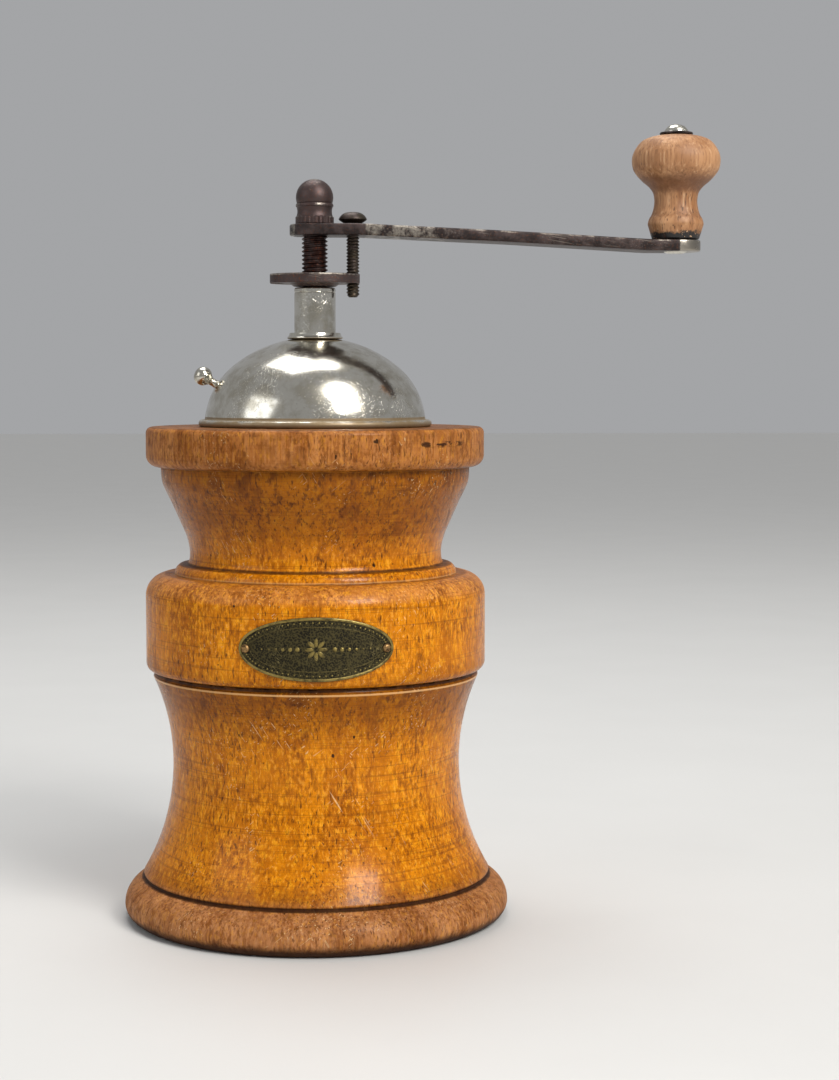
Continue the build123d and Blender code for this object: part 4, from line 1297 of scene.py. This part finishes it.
# %% Brass finish
f = Finish("aged_brass_plate")
raised = f.rise(f.radius(), BELLY + SHEET, BELLY + SHEET + 0.22)
cloud = f.noise(f.place, 3, 5, 0.62)
stipple = f.cells(f.place, 0.55)
field = f.coats(
    paint("18150b"),
    ("302b18", f.rise(cloud, 0.42, 0.66)),
    ("5e5430", f.rise(stipple, 0.35, 0.7) * 0.45),
)
gold = f.coats(paint("8c7a42"), ("544826", f.rise(cloud, 0.45, 0.62)))
marks = scratches(f, 0.25, ((0, 0.8, 0), (0, -0.5, 0)), 0.66)
colour = f.coats(f.lay(field, gold, raised), ("a89865", marks * 0.5))
rough = 0.48 - 0.14 * raised + 0.1 * cloud
height = stipple * 0.6 * (1 - raised) + cloud * 0.2 - marks * 0.2
dress(f.done(colour, rough, metal=0.75, bump=height, depth=0.12), name_plate)

f = Finish("nail_brass_worn")
cloud = f.noise(f.place, 0.9, 4, 0.6)
colour = f.coats(paint("94754c"), ("4a3722", f.rise(cloud, 0.42, 0.62)))
dress(f.done(colour, 0.34 + 0.2 * cloud, metal=0.9, bump=cloud, depth=0.06), nails)

f = Finish("bush_brass_oiled")
cloud = f.noise(f.place, 2, 4, 0.6)
colour = f.coats(paint("a88a4a"), ("4d3a1c", f.rise(cloud, 0.42, 0.62)))
bush_finish = f.done(colour, 0.3 + 0.25 * cloud, metal=0.9, bump=cloud, depth=0.05)
dress(bush_finish, nodes["lower_bush"])

# %% [markdown]
# ## The works inside
# These pieces keep the shapes of the mechanical model. The bridges and their screws are plain
# steel with dark oily patches, and the burrs are cast steel dusted with old coffee.


# %% Inner steel
def inner_steel(name, light, dark, dust):
    """Plain steel between two shades, with brown dust in its grit."""
    f = Finish(name)
    cloud = f.noise(f.place, 3, 5, 0.62)
    grit = f.noise(f.place, 0.6, 3, 0.6)
    colour = f.coats(
        paint(light),
        (dark, f.rise(cloud, 0.38, 0.66)),
        ("3b2413", f.rise(grit + cloud * 0.4, 0.6, 0.8) * dust),
    )
    rough = 0.36 + 0.3 * f.rise(grit, 0.45, 0.65)
    return f.done(colour, rough, metal=0.85, bump=grit * 0.6 + cloud * 0.4, depth=0.08)


bridges = ("bearing_bridge", "bridge_screws", "lower_bridge", "foot_screws")
oiled = inner_steel("plain_steel_oiled", "8f8b84", "4f4a44", 0.3)
dress(oiled, *(nodes[name] for name in bridges + ("ring_screws", "cone_pin")))
dusty = inner_steel("burr_steel_dusty", "5d5955", "2f2b28", 0.75)
dress(dusty, nodes["burr_ring"], nodes["cone_burr"])

# %% [markdown]
# ## Floor and light
# A plain pale floor and three broad soft lights: a strong one from the front right, a weaker
# one from the left, and one above and behind that draws a line of light on the shoulders. A
# faint wide sun and a grey sky lift the far floor and the shadows.

# %% Studio
MILL_MIDDLE = Vector((0, 0, 0.12))
floor = started(bpy.ops.mesh.primitive_plane_add, size=12, location=(0, 0, 0))
floor.name = "floor"
f = Finish("pale_floor")
soft = f.noise(f.place, 60, 3, 0.5)
floor_tone = f.lay(paint("cfcecb"), paint("cac9c6"), soft)
dress(f.done(floor_tone, 0.6, bump=soft, depth=0.2), floor)

world = bpy.data.worlds.new("studio")
bpy.context.scene.world = world
world.use_nodes = True
sky = world.node_tree.nodes["Background"].inputs
sky["Color"].default_value = (0.74, 0.75, 0.77, 1)
sky["Strength"].default_value = 0.5


def soft_light(name, place, size, power, colour=(1, 1, 1)):
    """A square soft light that looks at the middle of the mill."""
    bpy.ops.object.light_add(type="AREA", location=place)
    lamp = bpy.context.object
    lamp.name = name
    lamp.data.size = size
    lamp.data.energy = power
    lamp.data.color = colour
    aim = MILL_MIDDLE - Vector(place)
    lamp.rotation_euler = aim.to_track_quat("-Z", "Y").to_euler()


soft_light("key", (0.7, -1.0, 0.95), 0.5, 16.5, (1, 0.98, 0.95))
soft_light("fill", (-1.2, -0.6, 0.7), 0.8, 3.2, (0.95, 0.97, 1))
soft_light("top", (-0.1, 0.35, 1.3), 0.7, 8)
bpy.ops.object.light_add(type="SUN", rotation=(math.radians(38), 0, math.radians(35)))
daylight = bpy.context.object
daylight.name = "daylight"
daylight.data.energy = 0.8
daylight.data.angle = math.radians(30)
bpy.context.scene.view_settings.view_transform = "Standard"
